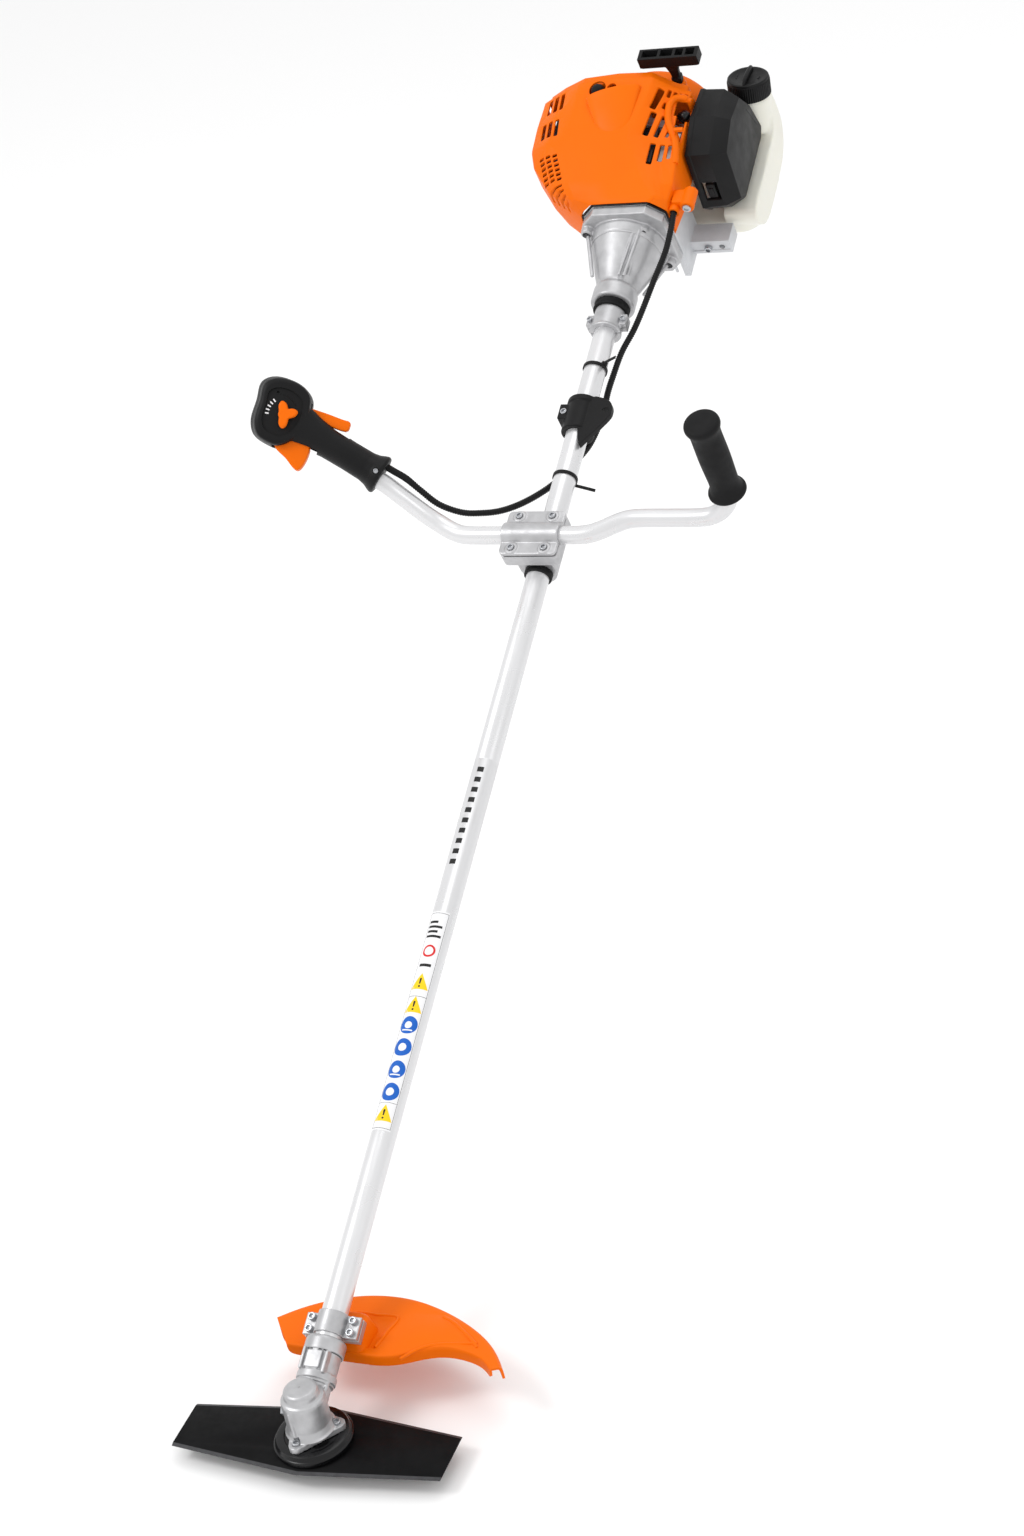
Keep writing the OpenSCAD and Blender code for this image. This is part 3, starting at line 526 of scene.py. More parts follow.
def conduit_radius(i):
    """Corrugations 3 mm apart, dying out where the plain end enters the handle."""
    plain = min(1, max(0, (len(conduit_line) - 60 - i) / 20))
    return CONDUIT_R - 0.75 * plain * (0.5 + 0.5 * math.cos(math.tau * i / 4)) ** 0.8


conduit = piece("conduit", hose(conduit_line, conduit_radius, 18), BLACK, replaces="throttle_conduit", sharp=60)

# ---------------------------------------------------------------- engine hood


def skin(rings):
    """An open sheet through rings whose ends stay apart."""
    n = len(rings[0])
    verts = [Vector(p) for ring in rings for p in ring]
    faces = [(r * n + k, r * n + k + 1, (r + 1) * n + k + 1, (r + 1) * n + k)
             for r in range(len(rings) - 1) for k in range(n - 1)]
    return verts, faces


HOOD = {1572: [(-59, -4), (-59, 10), (-55.5, 43), (-51, 50), (-36, 62.5), (-10, 63), (40, 62.8), (45, 59),
               (54, 51), (61, 44), (62, 6), (56, -2)],
        1580: [(-70, 0), (-70, 24), (-70, 50), (-65, 60), (-60, 65), (-10, 65.8), (46, 65), (52, 62.5),
               (57, 58), (62, 51), (63, 6), (56, -2)],
        1603: [(-96, -4), (-104, 24), (-104, 56), (-92, 66), (-72, 71), (-20, 72.2), (27, 72), (40, 69),
               (52, 64), (66, 60), (66, 6), (56, -2)],
        1640: [(-110, -5), (-131, 26), (-131, 63), (-108, 76), (-81, 81), (-30, 82.4), (10, 82), (26, 78),
               (44, 71.5), (66, 70), (66, 6), (56, -2)],
        1663: [(-112, -6), (-138, 24), (-138, 68), (-111, 83), (-85, 87), (-35, 88.8), (0, 88.6), (16, 84),
               (40, 76), (66, 74), (66, 6), (56, -2)],
        1700: [(-112, -6), (-138, 24), (-138, 72), (-110, 87), (-82, 95), (-30, 98), (12, 97), (30, 88),
               (44, 80), (66, 76), (66, 6), (56, -2)],
        1731: [(-112, -6), (-138, 24), (-138, 71), (-112, 87), (-79, 101), (-27, 105.5), (20, 103.5),
               (39, 87.5), (50, 80), (66, 76), (66, 6), (56, -2)],
        1744: [(-112, -6), (-138, 24), (-138, 71), (-112, 87), (-78, 103), (-26, 107.5), (22, 105.5), (42, 88),
               (52, 81), (66, 76), (66, 6), (56, -2)],}


def slot_cut(x, y, wide, long, lean=0.0, low=55, high=125):
    """An upright cutter for a vent; lean turns it in plan, in degrees."""
    half = rounded(wide, long, min(wide, long) * 0.28, 3)
    return moved(prism(half, low, high), at(x, y, 0) @ turn(0, 0, lean))


vents = [slot_cut(x, y, w, n, 4) for y, n in ((1726, 27), (1685, 26))
         for x, w in ((-122, 6), (-112, 6.5), (-102, 6))]
vents += [slot_cut(-117 + 10 * c + 2.2 * r, 1644 - 6.4 * r, 7, 4.4, 8) for r in range(6) for c in range(3)]
vents += [slot_cut(-93 + 3.4 * r, 1601 - 6.6 * r, 25, 3.4, 10, 40) for r in range(5)]
vents += [slot_cut(29, 1719, 8, 32, -14), slot_cut(39, 1713, 5.5, 10, -14)]
vents += [slot_cut(25, 1683, 8, 35, -12), slot_cut(38, 1682, 6.5, 33, -12), slot_cut(49, 1672, 5, 10, -12)]
vents += [slot_cut(33, 1641, 7.5, 32, -2), slot_cut(45, 1644, 7, 25, -2), slot_cut(55.5, 1646, 5.5, 20, 0)]
vents += [slot_cut(41 + 6.4 * k, 1732, 4.4, 11.5, -8) for k in range(5)]
vents += [moved(cylinder(11.5, -30, 30), at(-51, 1732, 108)), moved(cylinder(6.5, -30, 30), at(-31, 1731, 108))]
vents += [block((51, 1701, 58), (90, 1726, 96)), block((55, 1662, 66), (90, 1702, 96))]

piece("hood", skin([[(x, y, z) for x, z in row] for y, row in HOOD.items()]), ORANGE, replaces="engine_shroud",
      bevel=5, segments=4, bevel_angle=11, thick=2.6, cut=joined(*vents), after_bevel=0.5)


def hood_top(y):
    return 63.3 + 0.2725 * (y - 1572)


def scoop_ring(t):
    """One rib of the half funnel that the plug lead enters by; t is 0 at its mouth."""
    cx, cy = -27 + 6 * t, 1722 - 56 * t
    wide = (36 * (1 - t) ** 0.9 + 17 * t) * math.sqrt(1 - 0.8 * max(0, t - 0.7) ** 2 / 0.09)
    high = 14 * (1 - t) ** 0.8 + 1.2
    ring = []
    for k in range(25):
        a = math.pi * k / 24
        x = cx - wide * math.cos(a)
        y = cy + 0.22 * (x - cx) * (1 - t)
        ring.append((x, y, hood_top(y) - 2 + high * math.sin(a) ** 0.7 * (1 - 0.35 * k / 24)))
    return ring


piece("hood_scoop", skin([scoop_ring(k / 14) for k in range(15)]), ORANGE, thick=2, after_bevel=0.5, subdiv=1)
piece("hood_rim",
      hose(even(curve_through(
          [(67, 1730, 73), (58, 1731, 78), (49, 1727, 82), (45, 1716, 84), (45, 1702, 82), (48, 1688, 79),
           (54, 1676, 76), (60, 1664, 75), (63, 1650, 70), (64, 1632, 64)], 8), 1.5),
           lambda i: 4.6 if i > 3 else 3.4, 20), ORANGE)
piece("hood_boss",
      joined(moved(lathe([(5, 0), (7.4, 0), (7.6, 2), (7.9, 20), (5, 30), (5, 16)], 40, True),
                   at(67, 1574, 38) @ ALONG)), ORANGE)
piece("hood_lobe", joined(rod(1578, 1606, 9, 48), block((-20, 1582, -8), (0, 1603, 7))), ORANGE,
      where=MACHINE @ at(85, 0, 42), voxel=1.1, relax=3)
piece("lobe_screw",
      moved(joined(lathe([(3.2, 0), (5.6, 0), (5.6, 1.6), (4.8, 2.2), (3.2, 2.2)], 40, True),
                   cylinder(3.1, -1, 0.8)), at(85, 1577.6, 42) @ DOWN), STEEL)
piece("hood_gasket",
      prism_y([(-57, 9), (-53.5, 43.5), (-35, 62), (39, 62), (60, 43), (60, 20), (58, 20), (58, 42), (38, 60.4),
               (-34, 60.4), (-52, 42.4), (-55.6, 9)], 1570, 1574), GLOSS_BLACK)

# ---------------------------------------------------------------- filter cover, tank, cap and starter


def scaled(outline, centre, k):
    return [(centre[0] + (a - centre[0]) * k, centre[1] + (b - centre[1]) * k) for a, b in outline]


COVER_BASE = [(1646, -34), (1660, -52), (1776, -50), (1790, -36), (1784, 24), (1762, 62), (1706, 70),
              (1652, 56)]
COVER_FACE = [(1653, -31), (1668, -45), (1776, -45), (1788, -36), (1776, 16), (1753, 55), (1706, 63),
              (1660, 50)]
cover_mid = (1714, 4)
cover_rings = [[(x, y, z) for y, z in outline] for x, outline in (
    (70, COVER_BASE), (76, COVER_BASE),
    (77, scaled(COVER_BASE, cover_mid, 0.985)), (102, scaled(COVER_BASE, cover_mid, 0.97)),
    (121.5, scaled(COVER_FACE, cover_mid, 0.95)))]
cover_cut = joined(loft([[(x, y, z) for y, z in scaled(COVER_BASE, cover_mid, k)]
                         for x, k in ((60, 0.93), (104, 0.89))]), block((79, 1640, -22), (99, 1656, 8)))
piece("filter_cover_shell", loft(cover_rings), BLACK, body="cover", replaces="filter_cover", bevel=3.2,
      segments=4, bevel_angle=16, cut=cover_cut, after_bevel=0.6)
piece("filter_cover_latch",
      joined(block((83, 1650, -19), (95, 1655, 4)), block((86, 1648.6, -12), (92, 1651, -2))), BLACK,
      body="cover", bevel=0.8)
piece("filter_cover_seam", hose(even(curve_through([(121.3, y, z) for y, z in (
    (1774, -20), (1768, 0), (1760, 22))], 8), 2), 0.7, 10), GLOSS_BLACK, body="cover")

CAP = at(109, 1818, 8) @ turn(-17, 5, 0)
tank_side = smooth_outline(
    [(1665, -60), (1665, -88), (1690, -107), (1753, -109), (1803, -100), (1829, -70), (1829, -22), (1824, -6),
     (1802, -6), (1799, -50), (1740, -58)], 5)
tank_low = loft([[(x + 34, y + 1747, z) for x, y in rounded(w, d, r, 6)]
                 for w, d, r, z in (
                     (170, 150, 22, -109.8), (184, 162, 26, -104), (187, 165, 26, -92), (184, 164, 26, -82),
                     (176, 154, 24, -80))])
piece("tank",
      joined(prism_x(tank_side, 86, 131.5), tank_low,
             moved(lathe([(22, -64), (26, -40), (26.4, -18), (24.5, -11.8), (16.9, -10.6), (16.9, 1)], 64),
                   CAP)), TANK, replaces="fuel_tank", voxel=1.9, relax=9, sharp=180)

KNURLS = 60


def knurled(k, z):
    """A ring of the cap's rim, with its grooves 0.55 mm deep."""
    return [(x * (1 if i % 2 else 27.45 / 28), y * (1 if i % 2 else 27.45 / 28), z)
            for i, (x, y, z) in enumerate(circle(28 * k, z, 2 * KNURLS))]


cap_rings = [circle(r, z, 2 * KNURLS) for r, z in ((17.4, -13.5), (17.4, 4.6), (0.01, 4.6))]
cap_rings += [knurled(k, z) for k, z in ((0.985, -13.5), (1, -12.5), (1, 6.5), (0.985, 8.2))]
cap_rings += [circle(r, z, 2 * KNURLS)
              for r, z in (
                  (26.9, 8.6), (26.9, 10.6), (25.6, 11.8), (22, 12), (20.5, 11.2), (9, 11.2), (0.01, 11.2))]
fin = loft([[(s * w, y, z)
             for s, z in ((-1, 10.5), (-0.75, top - 2), (-0.4, top), (0.4, top), (0.75, top - 2), (1, 10.5))]
            for y, w, top in (
                (-25.4, 1.2, 12.2), (-22, 2.4, 15.5), (-17, 3.2, 19.6), (0, 3.6, 20.5), (17, 3.2, 19.6),
                (22, 2.4, 15.5), (25.4, 1.2, 12.2))])
cap_parts = dict(body="cap", where=MACHINE @ CAP)
piece("cap_shell", loft(cap_rings), BLACK, replaces="fuel_cap", bevel=0.3, bevel_angle=50, **cap_parts)
piece("cap_fin", fin, BLACK, subdiv=2, **cap_parts)
piece("cap_plug", cylinder(13.9, -6, 6), BLACK, bevel=1, **cap_parts)
piece("cap_marks",
      joined(*[moved(block((-0.6, -3, 11), (0.6, 3, 11.9)), turn(0, 0, a) @ at(-15, 0, 0))
               for a in (-8, 8, 172)]), BLACK, **cap_parts)

vent_cuts = [moved(prism(rounded(30, 6, 2.6, 4), -4, 20),
                   at(0, 1797, 0) @ ALONG @ turn(0, 0, 30 * k) @ at(43, 0, 0)) for k in range(12)]
vent_cuts += [moved(prism(rounded(5, 16, 2.4, 4), 56, 80), at(0, 1779, 0) @ ALONG @ ACROSS @ turn(a, 0, 0))
              for a in range(100, 260, 16)]
piece("starter_bowl",
      spun([(65.6, 1750.6), (66, 1752), (66, 1790), (64.5, 1796), (61, 1799.4), (22, 1799.9), (20, 1798.6),
            (16, 1798.2), (14, 1799.9), (0.01, 1799.9), (0.01, 1797.2), (6.9, 1797), (6.9, 1762), (0.01, 1762),
            (0.01, 1797), (62, 1797), (63, 1788), (63, 1750.6)], 96, True), ORANGE, replaces="starter_housing",
      cut=joined(*vent_cuts), after_bevel=0.5)
piece("starter_plate", prism_y(scaled(HOOD[1744], (-36, 46), 0.93), 1742, 1758), ORANGE, bevel=1.6,
      bevel_angle=15)
ROPE_FOOT = at(40, 1772, 0)
piece("rope_boss",
      moved(lathe([(3.2, 60), (9, 60), (9, 64), (8.4, 67), (7, 68), (4.6, 68), (3.2, 66.4)], 48, True),
            ROPE_FOOT), ORANGE)
piece("rope_boss_stem", moved(cylinder(8.9, 38, 61), ROPE_FOOT), ORANGE)

grip_stem = [[(x, y, z) for x, y in rounded(w, d, r, 4)]
             for w, d, r, z in (
                 (12.6, 12.6, 3, 0), (13.2, 13, 3, 9), (11, 10, 3, 10.5), (12, 10, 3, 18), (18, 12, 4, 29),
                 (30, 14, 5, 34.5), (34, 15, 5, 36))]
bar_cuts = joined(*[block((x0, -5.6, 39.4), (x1, 5.6, 60))
                    for x0, x1 in ((-35, -14), (-10.5, 6), (9.5, 20), (23.5, 35.5))],
                  block((-4, -20, 6), (4, -5.2, 28)), cylinder(2.2, -2, 28))
piece("pull_grip_body",
      joined(loft(grip_stem),
             prism_y([(-40, 34.5), (-36.5, 33.4), (36.5, 33.4), (40, 34.5), (40, 50), (-40, 50)], -9, 9)),
      BLACK, body="pull_grip", replaces="starter_grip", where=MACHINE @ ROPE_FOOT @ at(0, 0, 68.4), voxel=0.55,
      relax=3, cut=bar_cuts, after_bevel=0.35)
rope = piece("pull_rope",
             hose([Vector((40, 1772, 30 + 1.5 * k)) for k in range(45)], lambda i: 1.8 - 0.16 * (i % 2), 16),
             ROPE, body=None, replaces="starter_rope")

# ---------------------------------------------------------------- clutch housing, clamp and crankcase

FLANGE = [(-56, 10), (-52, 42), (-34, 60), (38, 60), (58, 42), (60, -36), (44, -52), (-44, -52), (-56, -36)]
HOUSING_SCREWS = [(-46, 33), (30, 33), (46, -30), (-46, -30)]
bosses = [moved(lathe([(4, 0), (7.5, 2), (8.2, 10), (8.2, 14)], 32), at(x, 1547, z) @ ALONG)
          for x, z in HOUSING_SCREWS]
ribs = [hose([Vector((x * k, y, z * k)) for k, y in ((0.62, 1490), (0.95, 1546))], 2.6, 16)
        for x, z in HOUSING_SCREWS]
ribs += [hose([Vector((17, 1484, 27)), Vector((28, 1548, 39))], 2.2, 16),
         hose([Vector((11, 1484, 29)), Vector((22, 1548, 42))], 1.8, 16)]
piece("clutch_bell",
      joined(spun([(25, 1456), (27.6, 1456.4), (28.4, 1458), (28.4, 1476), (27.4, 1479), (26, 1480.5),
                   (26.4, 1484), (46.5, 1541), (48.2, 1543), (51, 1553), (51, 1560)], 96),
             prism_y(scaled(FLANGE, (0, 4), 0.985), 1557, 1569.8), *bosses, *ribs), CAST,
      replaces="clutch_housing", voxel=0.8, relax=3,
      cut=joined(*[moved(cylinder(5.2, 0, 14), at(x, 1545.9, z) @ ALONG) for x, z in HOUSING_SCREWS],
                 rod(1450, 1470, 21.5)), sharp=45)
piece("bell_ring", spun([(46.6, 1540.2), (47.6, 1540.6), (47.9, 1541.8), (47, 1542.2)], 96, True), CAST)
piece("bell_screws",
      joined(*[moved(screw(5), at(x, 1560, z) @ DOWN) for x, z in HOUSING_SCREWS],
             *[moved(screw(5, 4.6), TO_HEAD.inverted() @ turn(0, 0, a) @ at(27, 0, -19))
               for a in (-100, 20, 140)]), STEEL, replaces="housing_screws", bevel=0.25, bevel_angle=40)
piece("vibration_bush",
      spun([(18, 1446), (22.4, 1446), (23, 1447), (22, 1450), (22, 1452), (23, 1455), (22.4, 1456), (18, 1456)],
           72, True), RUBBER, replaces="vibration_ring")
piece("engine_collar",
      joined(rod(1414, 1446, 19.5, 96), block((-26, 1422, -8), (26, 1438, 7)), rod(1414, 1417, 20.3, 96)), CAST,
      replaces="engine_clamp_collar", voxel=0.7, relax=2,
      cut=joined(rod(1400, 1450, 14.1, 96), block((-40, 1400, -0.6), (40, 1450, 0.6))))
softened("crankcase", GREY_CAST, width=2.4)
piece("crankcase_foot_ribs",
      joined(*[block((x, 1589, -90), (x + 3.4, 1591.4, -30)) for x in (-30, -10, 10, 30)],
             block((44, 1621, -88), (98, 1623.4, -86))), GREY_CAST, bevel=0.8)
piece("arm_screw", moved(screw(6), at(70, 1622, -81) @ DOWN), STEEL, bevel=0.3, bevel_angle=40)
# the muffler's dark steel is partly painted shade, so that the hood vents look black
for node, mat, width in (("muffler", DARK_STEEL_AND_SHADE, 2.5), ("carburettor", GREY_CAST, 1.2),
                         ("choke_lever", ORANGE, 0.8), ("air_filter", FELT, 2.0)):
    softened(node, mat, body="choke" if node == "choke_lever" else "root", width=width)
piece("bulb_dome",
      lathe([(8, 0), (8.6, 0.6), (8.6, 2.2), (7.7, 3), (7.4, 5.5), (6.3, 8.6), (4.2, 10.9), (1.8, 11.9),
             (0.01, 12)], 48), GLOSS_BLACK, body="bulb", replaces="primer_bulb",
      where=MACHINE @ at(57, 1712, 62) @ turn(0, 45, 0), subdiv=1)
BOOT = [(0, 1679.5, 74.3), (0, 1690, 80), (-8, 1702, 85), (-26, 1716, 88), (-44, 1726, 92), (-50, 1730, 99)]
boot_line = even(curve_through(BOOT, 10), 1.0)
piece("boot_lead", hose(boot_line, lambda i: 7.0 + 0.25 * math.sin(i * 1.3), 24), RUBBER, replaces="plug_boot")
piece("boot_dome", moved(lathe([(9.2, -6), (9.2, 4), (8, 8), (5, 11), (0.01, 12)], 40), at(-51, 1731.5, 97)),
      RUBBER, subdiv=1)

# ---------------------------------------------------------------- tube, label and shaft

piece("tube",
      lathe([(12.4, 34.5), (13.9, 34.5), (14, 35), (14, 779.4), (13.75, 779.8), (13.75, 780.6), (14, 781),
             (14, 1439.5), (13.8, 1440), (12.4, 1440)], 96, True), TUBE, replaces="drive_tube",
      where=MACHINE @ ALONG, sharp=50)


PRINT_R = 14.2
OVER_R = 14.26
TRIANGLE_ROWS = (489, 460.6, 330)
DISC_ROWS = (437.5, 410.6, 383.7, 357)


def wrap(s, y, r):
    """A point s millimetres round the tube from its top line, at height r from the axis."""
    a = s / PRINT_R
    return (r * math.sin(a), y, r * math.cos(a))


def decal(outline, s0, y0, r=PRINT_R, deep=0.05):
    """A thin printed shape laid round the tube."""
    rings = [[wrap(s0 + s * k, y0 + y * k, r + deep) for s, y in outline]
             for k in (0.02, 0.2, 0.4, 0.6, 0.8, 1)]
    rings.append([wrap(s0 + s, y0 + y, r) for s, y in outline])
    return loft(rings)


def disc(r, sides=40):
    return [(x, y) for x, y, _ in circle(r, 0, sides)]


def filled(outline, steps=6):
    """An outline with extra points along each side, so that it can bend."""
    out = []
    for a, b in zip(outline, outline[1:] + outline[:1]):
        out += [(a[0] + (b[0] - a[0]) * k / steps, a[1] + (b[1] - a[1]) * k / steps) for k in range(steps)]
    return out


def sheet_round(s0, s1, y0, y1, r0, r1, steps=24):
    rings = [[wrap(s0 + (s1 - s0) * k / steps, y, r) for y, r in ((y0, r0), (y0, r1), (y1, r1), (y1, r0))]
             for k in range(steps + 1)]
    return loft(rings)


def bar_mark(s0, s1, y0, y1):
    half_s, half_y = (s1 - s0) / 2, (y1 - y0) / 2
    return decal(filled([(-half_s, -half_y), (half_s, -half_y), (half_s, half_y), (-half_s, half_y)]),
                 (s0 + s1) / 2, (y0 + y1) / 2)


piece("label", sheet_round(-12.6, 12.6, 312, 579, 14.02, 14.16), PAPER, replaces="safety_label")
LABEL_LINES = [(-12, -11.6, 314, 577), (11.6, 12, 314, 577), (-12, 12, 314, 314.5), (-12, 12, 576.5, 577),
               (-12, 12, 472.5, 473), (-12, 12, 344, 344.4)]
piece("label_lines", joined(*[bar_mark(*line) for line in LABEL_LINES]), INK)
TRIANGLE = filled([(0, 12), (11, -7.5), (-11, -7.5)], 8)
piece("label_triangles", joined(*[decal(TRIANGLE, 0, y) for y in TRIANGLE_ROWS]), YELLOW)
piece("label_triangle_marks",
      joined(*[decal(filled([(0, 6.4), (1.2, 5.4), (0.8, -1), (-0.8, -1), (-1.2, 5.4)], 3), 0, y, OVER_R)
               for y in TRIANGLE_ROWS], *[decal(disc(1.2, 16), 0, y - 4, OVER_R) for y in TRIANGLE_ROWS],
             bar_mark(-7, 7, 509.5, 513), bar_mark(-9, 9, 546, 549), bar_mark(-9, 4, 552, 555),
             bar_mark(-9, 8, 558, 561), bar_mark(-9, 2, 564, 567)), INK)
piece("label_discs", joined(*[decal(disc(10.6), 0, y) for y in DISC_ROWS]), BLUE)
piece("label_disc_marks",
      joined(*[decal(disc(4.2 + 0.5 * (k % 2), 32), 0, y, OVER_R) for k, y in enumerate(DISC_ROWS)],
             *[decal(filled([(-6, 0.8), (6, 0.8), (6, -0.8), (-6, -0.8)], 6), 0, y - 6.2, OVER_R)
               for y in DISC_ROWS[::2]]), PAPER)
piece("label_ring", decal(disc(7.6), 0, 529), RED)
piece("label_ring_middle", decal(disc(5.2), 0, 529, OVER_R), PAPER)
piece("tube_marks",
      joined(*[sheet_round(
          -5.5 + 0.35 * k, 5.5 - 0.35 * (9 - k), 640 + 13.5 * k, 646.5 + 13.5 * k, 13.98, 14.04, 12)
               for k in range(10)]), INK)

# ---------------------------------------------------------------- blade, gear head and guard

blade_plan = [(-152.5, 31), (0, 48.5), (152.5, 31), (152.5, -31), (0, -48.5), (-152.5, -31)]
ground = [(-152.5, 27.4), (0, 44.7), (152.5, 27.4), (152.5, -27.4), (0, -44.7), (-152.5, -27.4)]
blade_parts = dict(body="blade_spindle", where=HEAD)
piece("blade_plate", prism(ground, -38.8, -36.8), BLADE_BLACK, replaces="blade", cut=cylinder(12.75, -50, -30),
      after_bevel=0.12, **blade_parts)
for end, rows in (("edge_far", (0, 1, 2)), ("edge_near", (3, 4, 5))):
    ring_rows = [[(*ground[k], -38.78), (*ground[k], -36.84), (*blade_plan[k], -38.1), (*blade_plan[k], -38.7)]
                 for k in rows]
    piece("blade_" + end, loft(ring_rows), EDGE_STEEL, **blade_parts)
piece("winding_guard_shell",
      lathe([(42, -34.5), (42, -30.6), (41.3, -29.9), (40.3, -29.4), (38.2, -25), (36.4, -24.2), (30, -24.2),
             (29, -24.8), (12, -24.8), (12, -26.5), (34, -26.5), (38, -29.6), (39, -30), (39, -34.5)], 128,
            True), GLOSS_BLACK, replaces="winding_guard", where=HEAD, sharp=28)
GEAR_LOBES = (-100, 20, 140)


def toward(a, r):
    return r * math.cos(math.radians(a)), r * math.sin(math.radians(a))


lobe_outline = []
for a in GEAR_LOBES:
    cx, cy = toward(a, 28)
    lobe_outline += [(cx + toward(a + k, 7.6)[0], cy + toward(a + k, 7.6)[1]) for k in range(-60, 61, 12)]
gear_solids = [lathe([(0.01, -22), (24, -22), (24, -14), (23.2, -12.5), (23, 20), (22.4, 23.4), (20, 24.6),
                      (18.7, 25.6), (18.5, 30.5), (17.4, 33.6), (15, 35.2), (12, 35.5), (0.01, 35.5)], 96),
               prism(lobe_outline, -24, -17.2),
               lathe([(0.01, -22), (27, -17.5), (25, -15), (23.4, -9), (0.01, -8.5)], 96),
               moved(rod(0, 40, 17.5, 72), TO_HEAD), moved(rod(30, 79, 19.4, 72), TO_HEAD),
               moved(rod(33, 41, 21, 72), TO_HEAD),
               moved(lathe([(21.5, 63), (21.5, 76), (20.6, 78)], 72), TO_HEAD @ ALONG),
               moved(prism(rounded(17, 19, 1.5), 17, 20.6), TO_HEAD @ at(0, 52, 0)),
               moved(prism(rounded(3.4, 24, 1.4), 15, 21), TO_HEAD @ at(-12.5, 52, 0)),
               moved(prism(rounded(3.4, 24, 1.4), 12, 20.3), TO_HEAD @ at(13.5, 50, 0)),
               hose([Vector((15, 2, 16)), Vector((17.2, 20, 18)), Vector((16, 34, 24))], 2.6, 16),
               hose([Vector((-6.6, -22, 18)), Vector((-5, -24.5, -17))], 2.0, 14),
               moved(cylinder(6.6, 0, 4.6), at(-19.8, 0, 2) @ turn(0, -90, 0))]
gear_cuts = [moved(cylinder(4.6, -19, -10), at(*toward(a, 27), 0)) for a in GEAR_LOBES]
gear_cuts.append(moved(rod(34, 90, 14.2, 72), TO_HEAD))
gear_cuts.append(cylinder(1.2, 35.1, 40))
piece("gear_case", joined(*gear_solids), CAST, replaces="gearbox_housing", where=HEAD, voxel=0.75, relax=3,
      cut=joined(*gear_cuts), sharp=45)
piece("gear_groove", spun([(19.3, 62.2), (20.2, 62.2), (20.2, 63), (19.3, 63)], 72, True), DARK_STEEL_AND_SHADE)
piece("gear_groove_low", spun([(17.2, 32), (19.2, 32), (19.2, 32.8), (17.2, 32.8)], 72, True), DARK_STEEL_AND_SHADE)

GUARD = [((-58, 82), (-88, 122)), ((-40, 81), (-66, 142)), ((-20, 80.5), (-38, 158)), ((0, 80), (-8, 169)),
         ((24, 79.5), (24, 173)), ((50, 78.5), (54, 171)), ((72, 84), (84, 162.5)), ((96, 98.5), (112, 150.5)),
         ((120, 103.5), (136, 137)), ((146, 99), (157, 122)), ((163, 91), (174, 104)),
         ((174, 78), (187, 84))]
SKIRT = (-31, -31, -31, -31, -31, -31, -30, -27, -21, -13, -8, -4)


def guard_line(front, rim, low):
    """A section of the guard from its front edge over the plate and down the skirt to z = low."""
    f, r = Vector((*front, 0)), Vector((*rim, 0))
    span = (r - f).length
    ahead = (r - f) / span

    def on(d, z):
        q = f + ahead * d
        return (q.x, q.y, z)

    return [on(0, -1), on(0, 10.8), on(1.8, 12.9), on(span * 0.25, 13), on(span * 0.5, 13),
            on(span * 0.75, 12.8), on(span - 3.2, 12.4), on(span - 0.4, 10), on(span, 4), on(span, low * 0.45),
            on(span, low)]


def guard_shape(v):
    """Sinks the panel beside the bracket and crowns the wide part of the plate."""
    if v.z < 11.8:
        return v
    x, y = v.x, v.y
    inside = min(x - (137 - y) * 0.02, 47 - (137 - y) * 0.13 - x, 137 - y, y - 88)
    sink = 2.2 * min(1, max(0, inside / 4))
    swell = 2.4 * max(0, 1 - ((x - 96) / 44) ** 2) * max(0, 1 - ((y - 122) / 26) ** 2)
    return Vector((x, y, v.z - sink + swell))


piece("guard_shell", skin([guard_line(a, b, low) for (a, b), low in zip(GUARD, SKIRT)]), ORANGE,
      replaces="guard", where=HEAD, subdiv=3, shape=guard_shape, thick=2.6, after_bevel=0.4, sharp=40)


def ridge(points, r=1.7):
    return hose(even(curve_through(points, 6), 1.5), r, 14)


piece("guard_ridges",
      joined(ridge([(-2, 92, 12.8), (-3, 115, 12.8), (-2, 138, 12.6), (24, 138.5, 12.6), (48, 138, 12.6),
                    (45, 114, 12.8), (41, 91, 12.8)]),
             ridge([(74, 80, 11.6), (88, 95, 12.8), (104, 104, 13.2), (126, 109, 13), (149, 113, 12.6)]),
             ridge([(97, 146, 12), (112, 138, 13.2), (127, 127, 12.9), (141, 116, 12.4), (150, 107, 11.6)],
                   2.4)), ORANGE, where=HEAD)
boss_cut = joined(moved(rod(50, 140, 14.35, 64), TO_HEAD),
                  moved(block((-34, 78, -16.5), (34, 112, 0.5)), TO_HEAD),
                  moved(block((-31.5, 82, -10), (31.5, 110, 16)), TO_HEAD))
piece("guard_boss",
      loft([[(x, 103 + y, z) for x, y in rounded(w, d, r, 5)]
            for w, d, r, z in (
                (66, 44, 9, 10.5), (62, 40, 8, 16), (58, 37, 8, 26), (54, 34, 8, 31), (48, 30, 8, 33))]),
      ORANGE, where=HEAD, bevel=1.2, bevel_angle=25, cut=boss_cut, after_bevel=0.5)
bracket = joined(rod(84, 108, 16.4, 72), block((-31, 84, -6), (31, 108, -1)),
                 block((-31, 84, -16.4), (31, 108, -8)))
piece("bracket", bracket, CAST, replaces="guard_bracket", voxel=0.7, relax=2,
      cut=joined(rod(80, 112, 14.05, 72), block((-40, 80, -8), (40, 112, -6))))
GUARD_SCREWS = [(x, y) for x in (-23.5, 23.5) for y in (89.5, 102.5)]
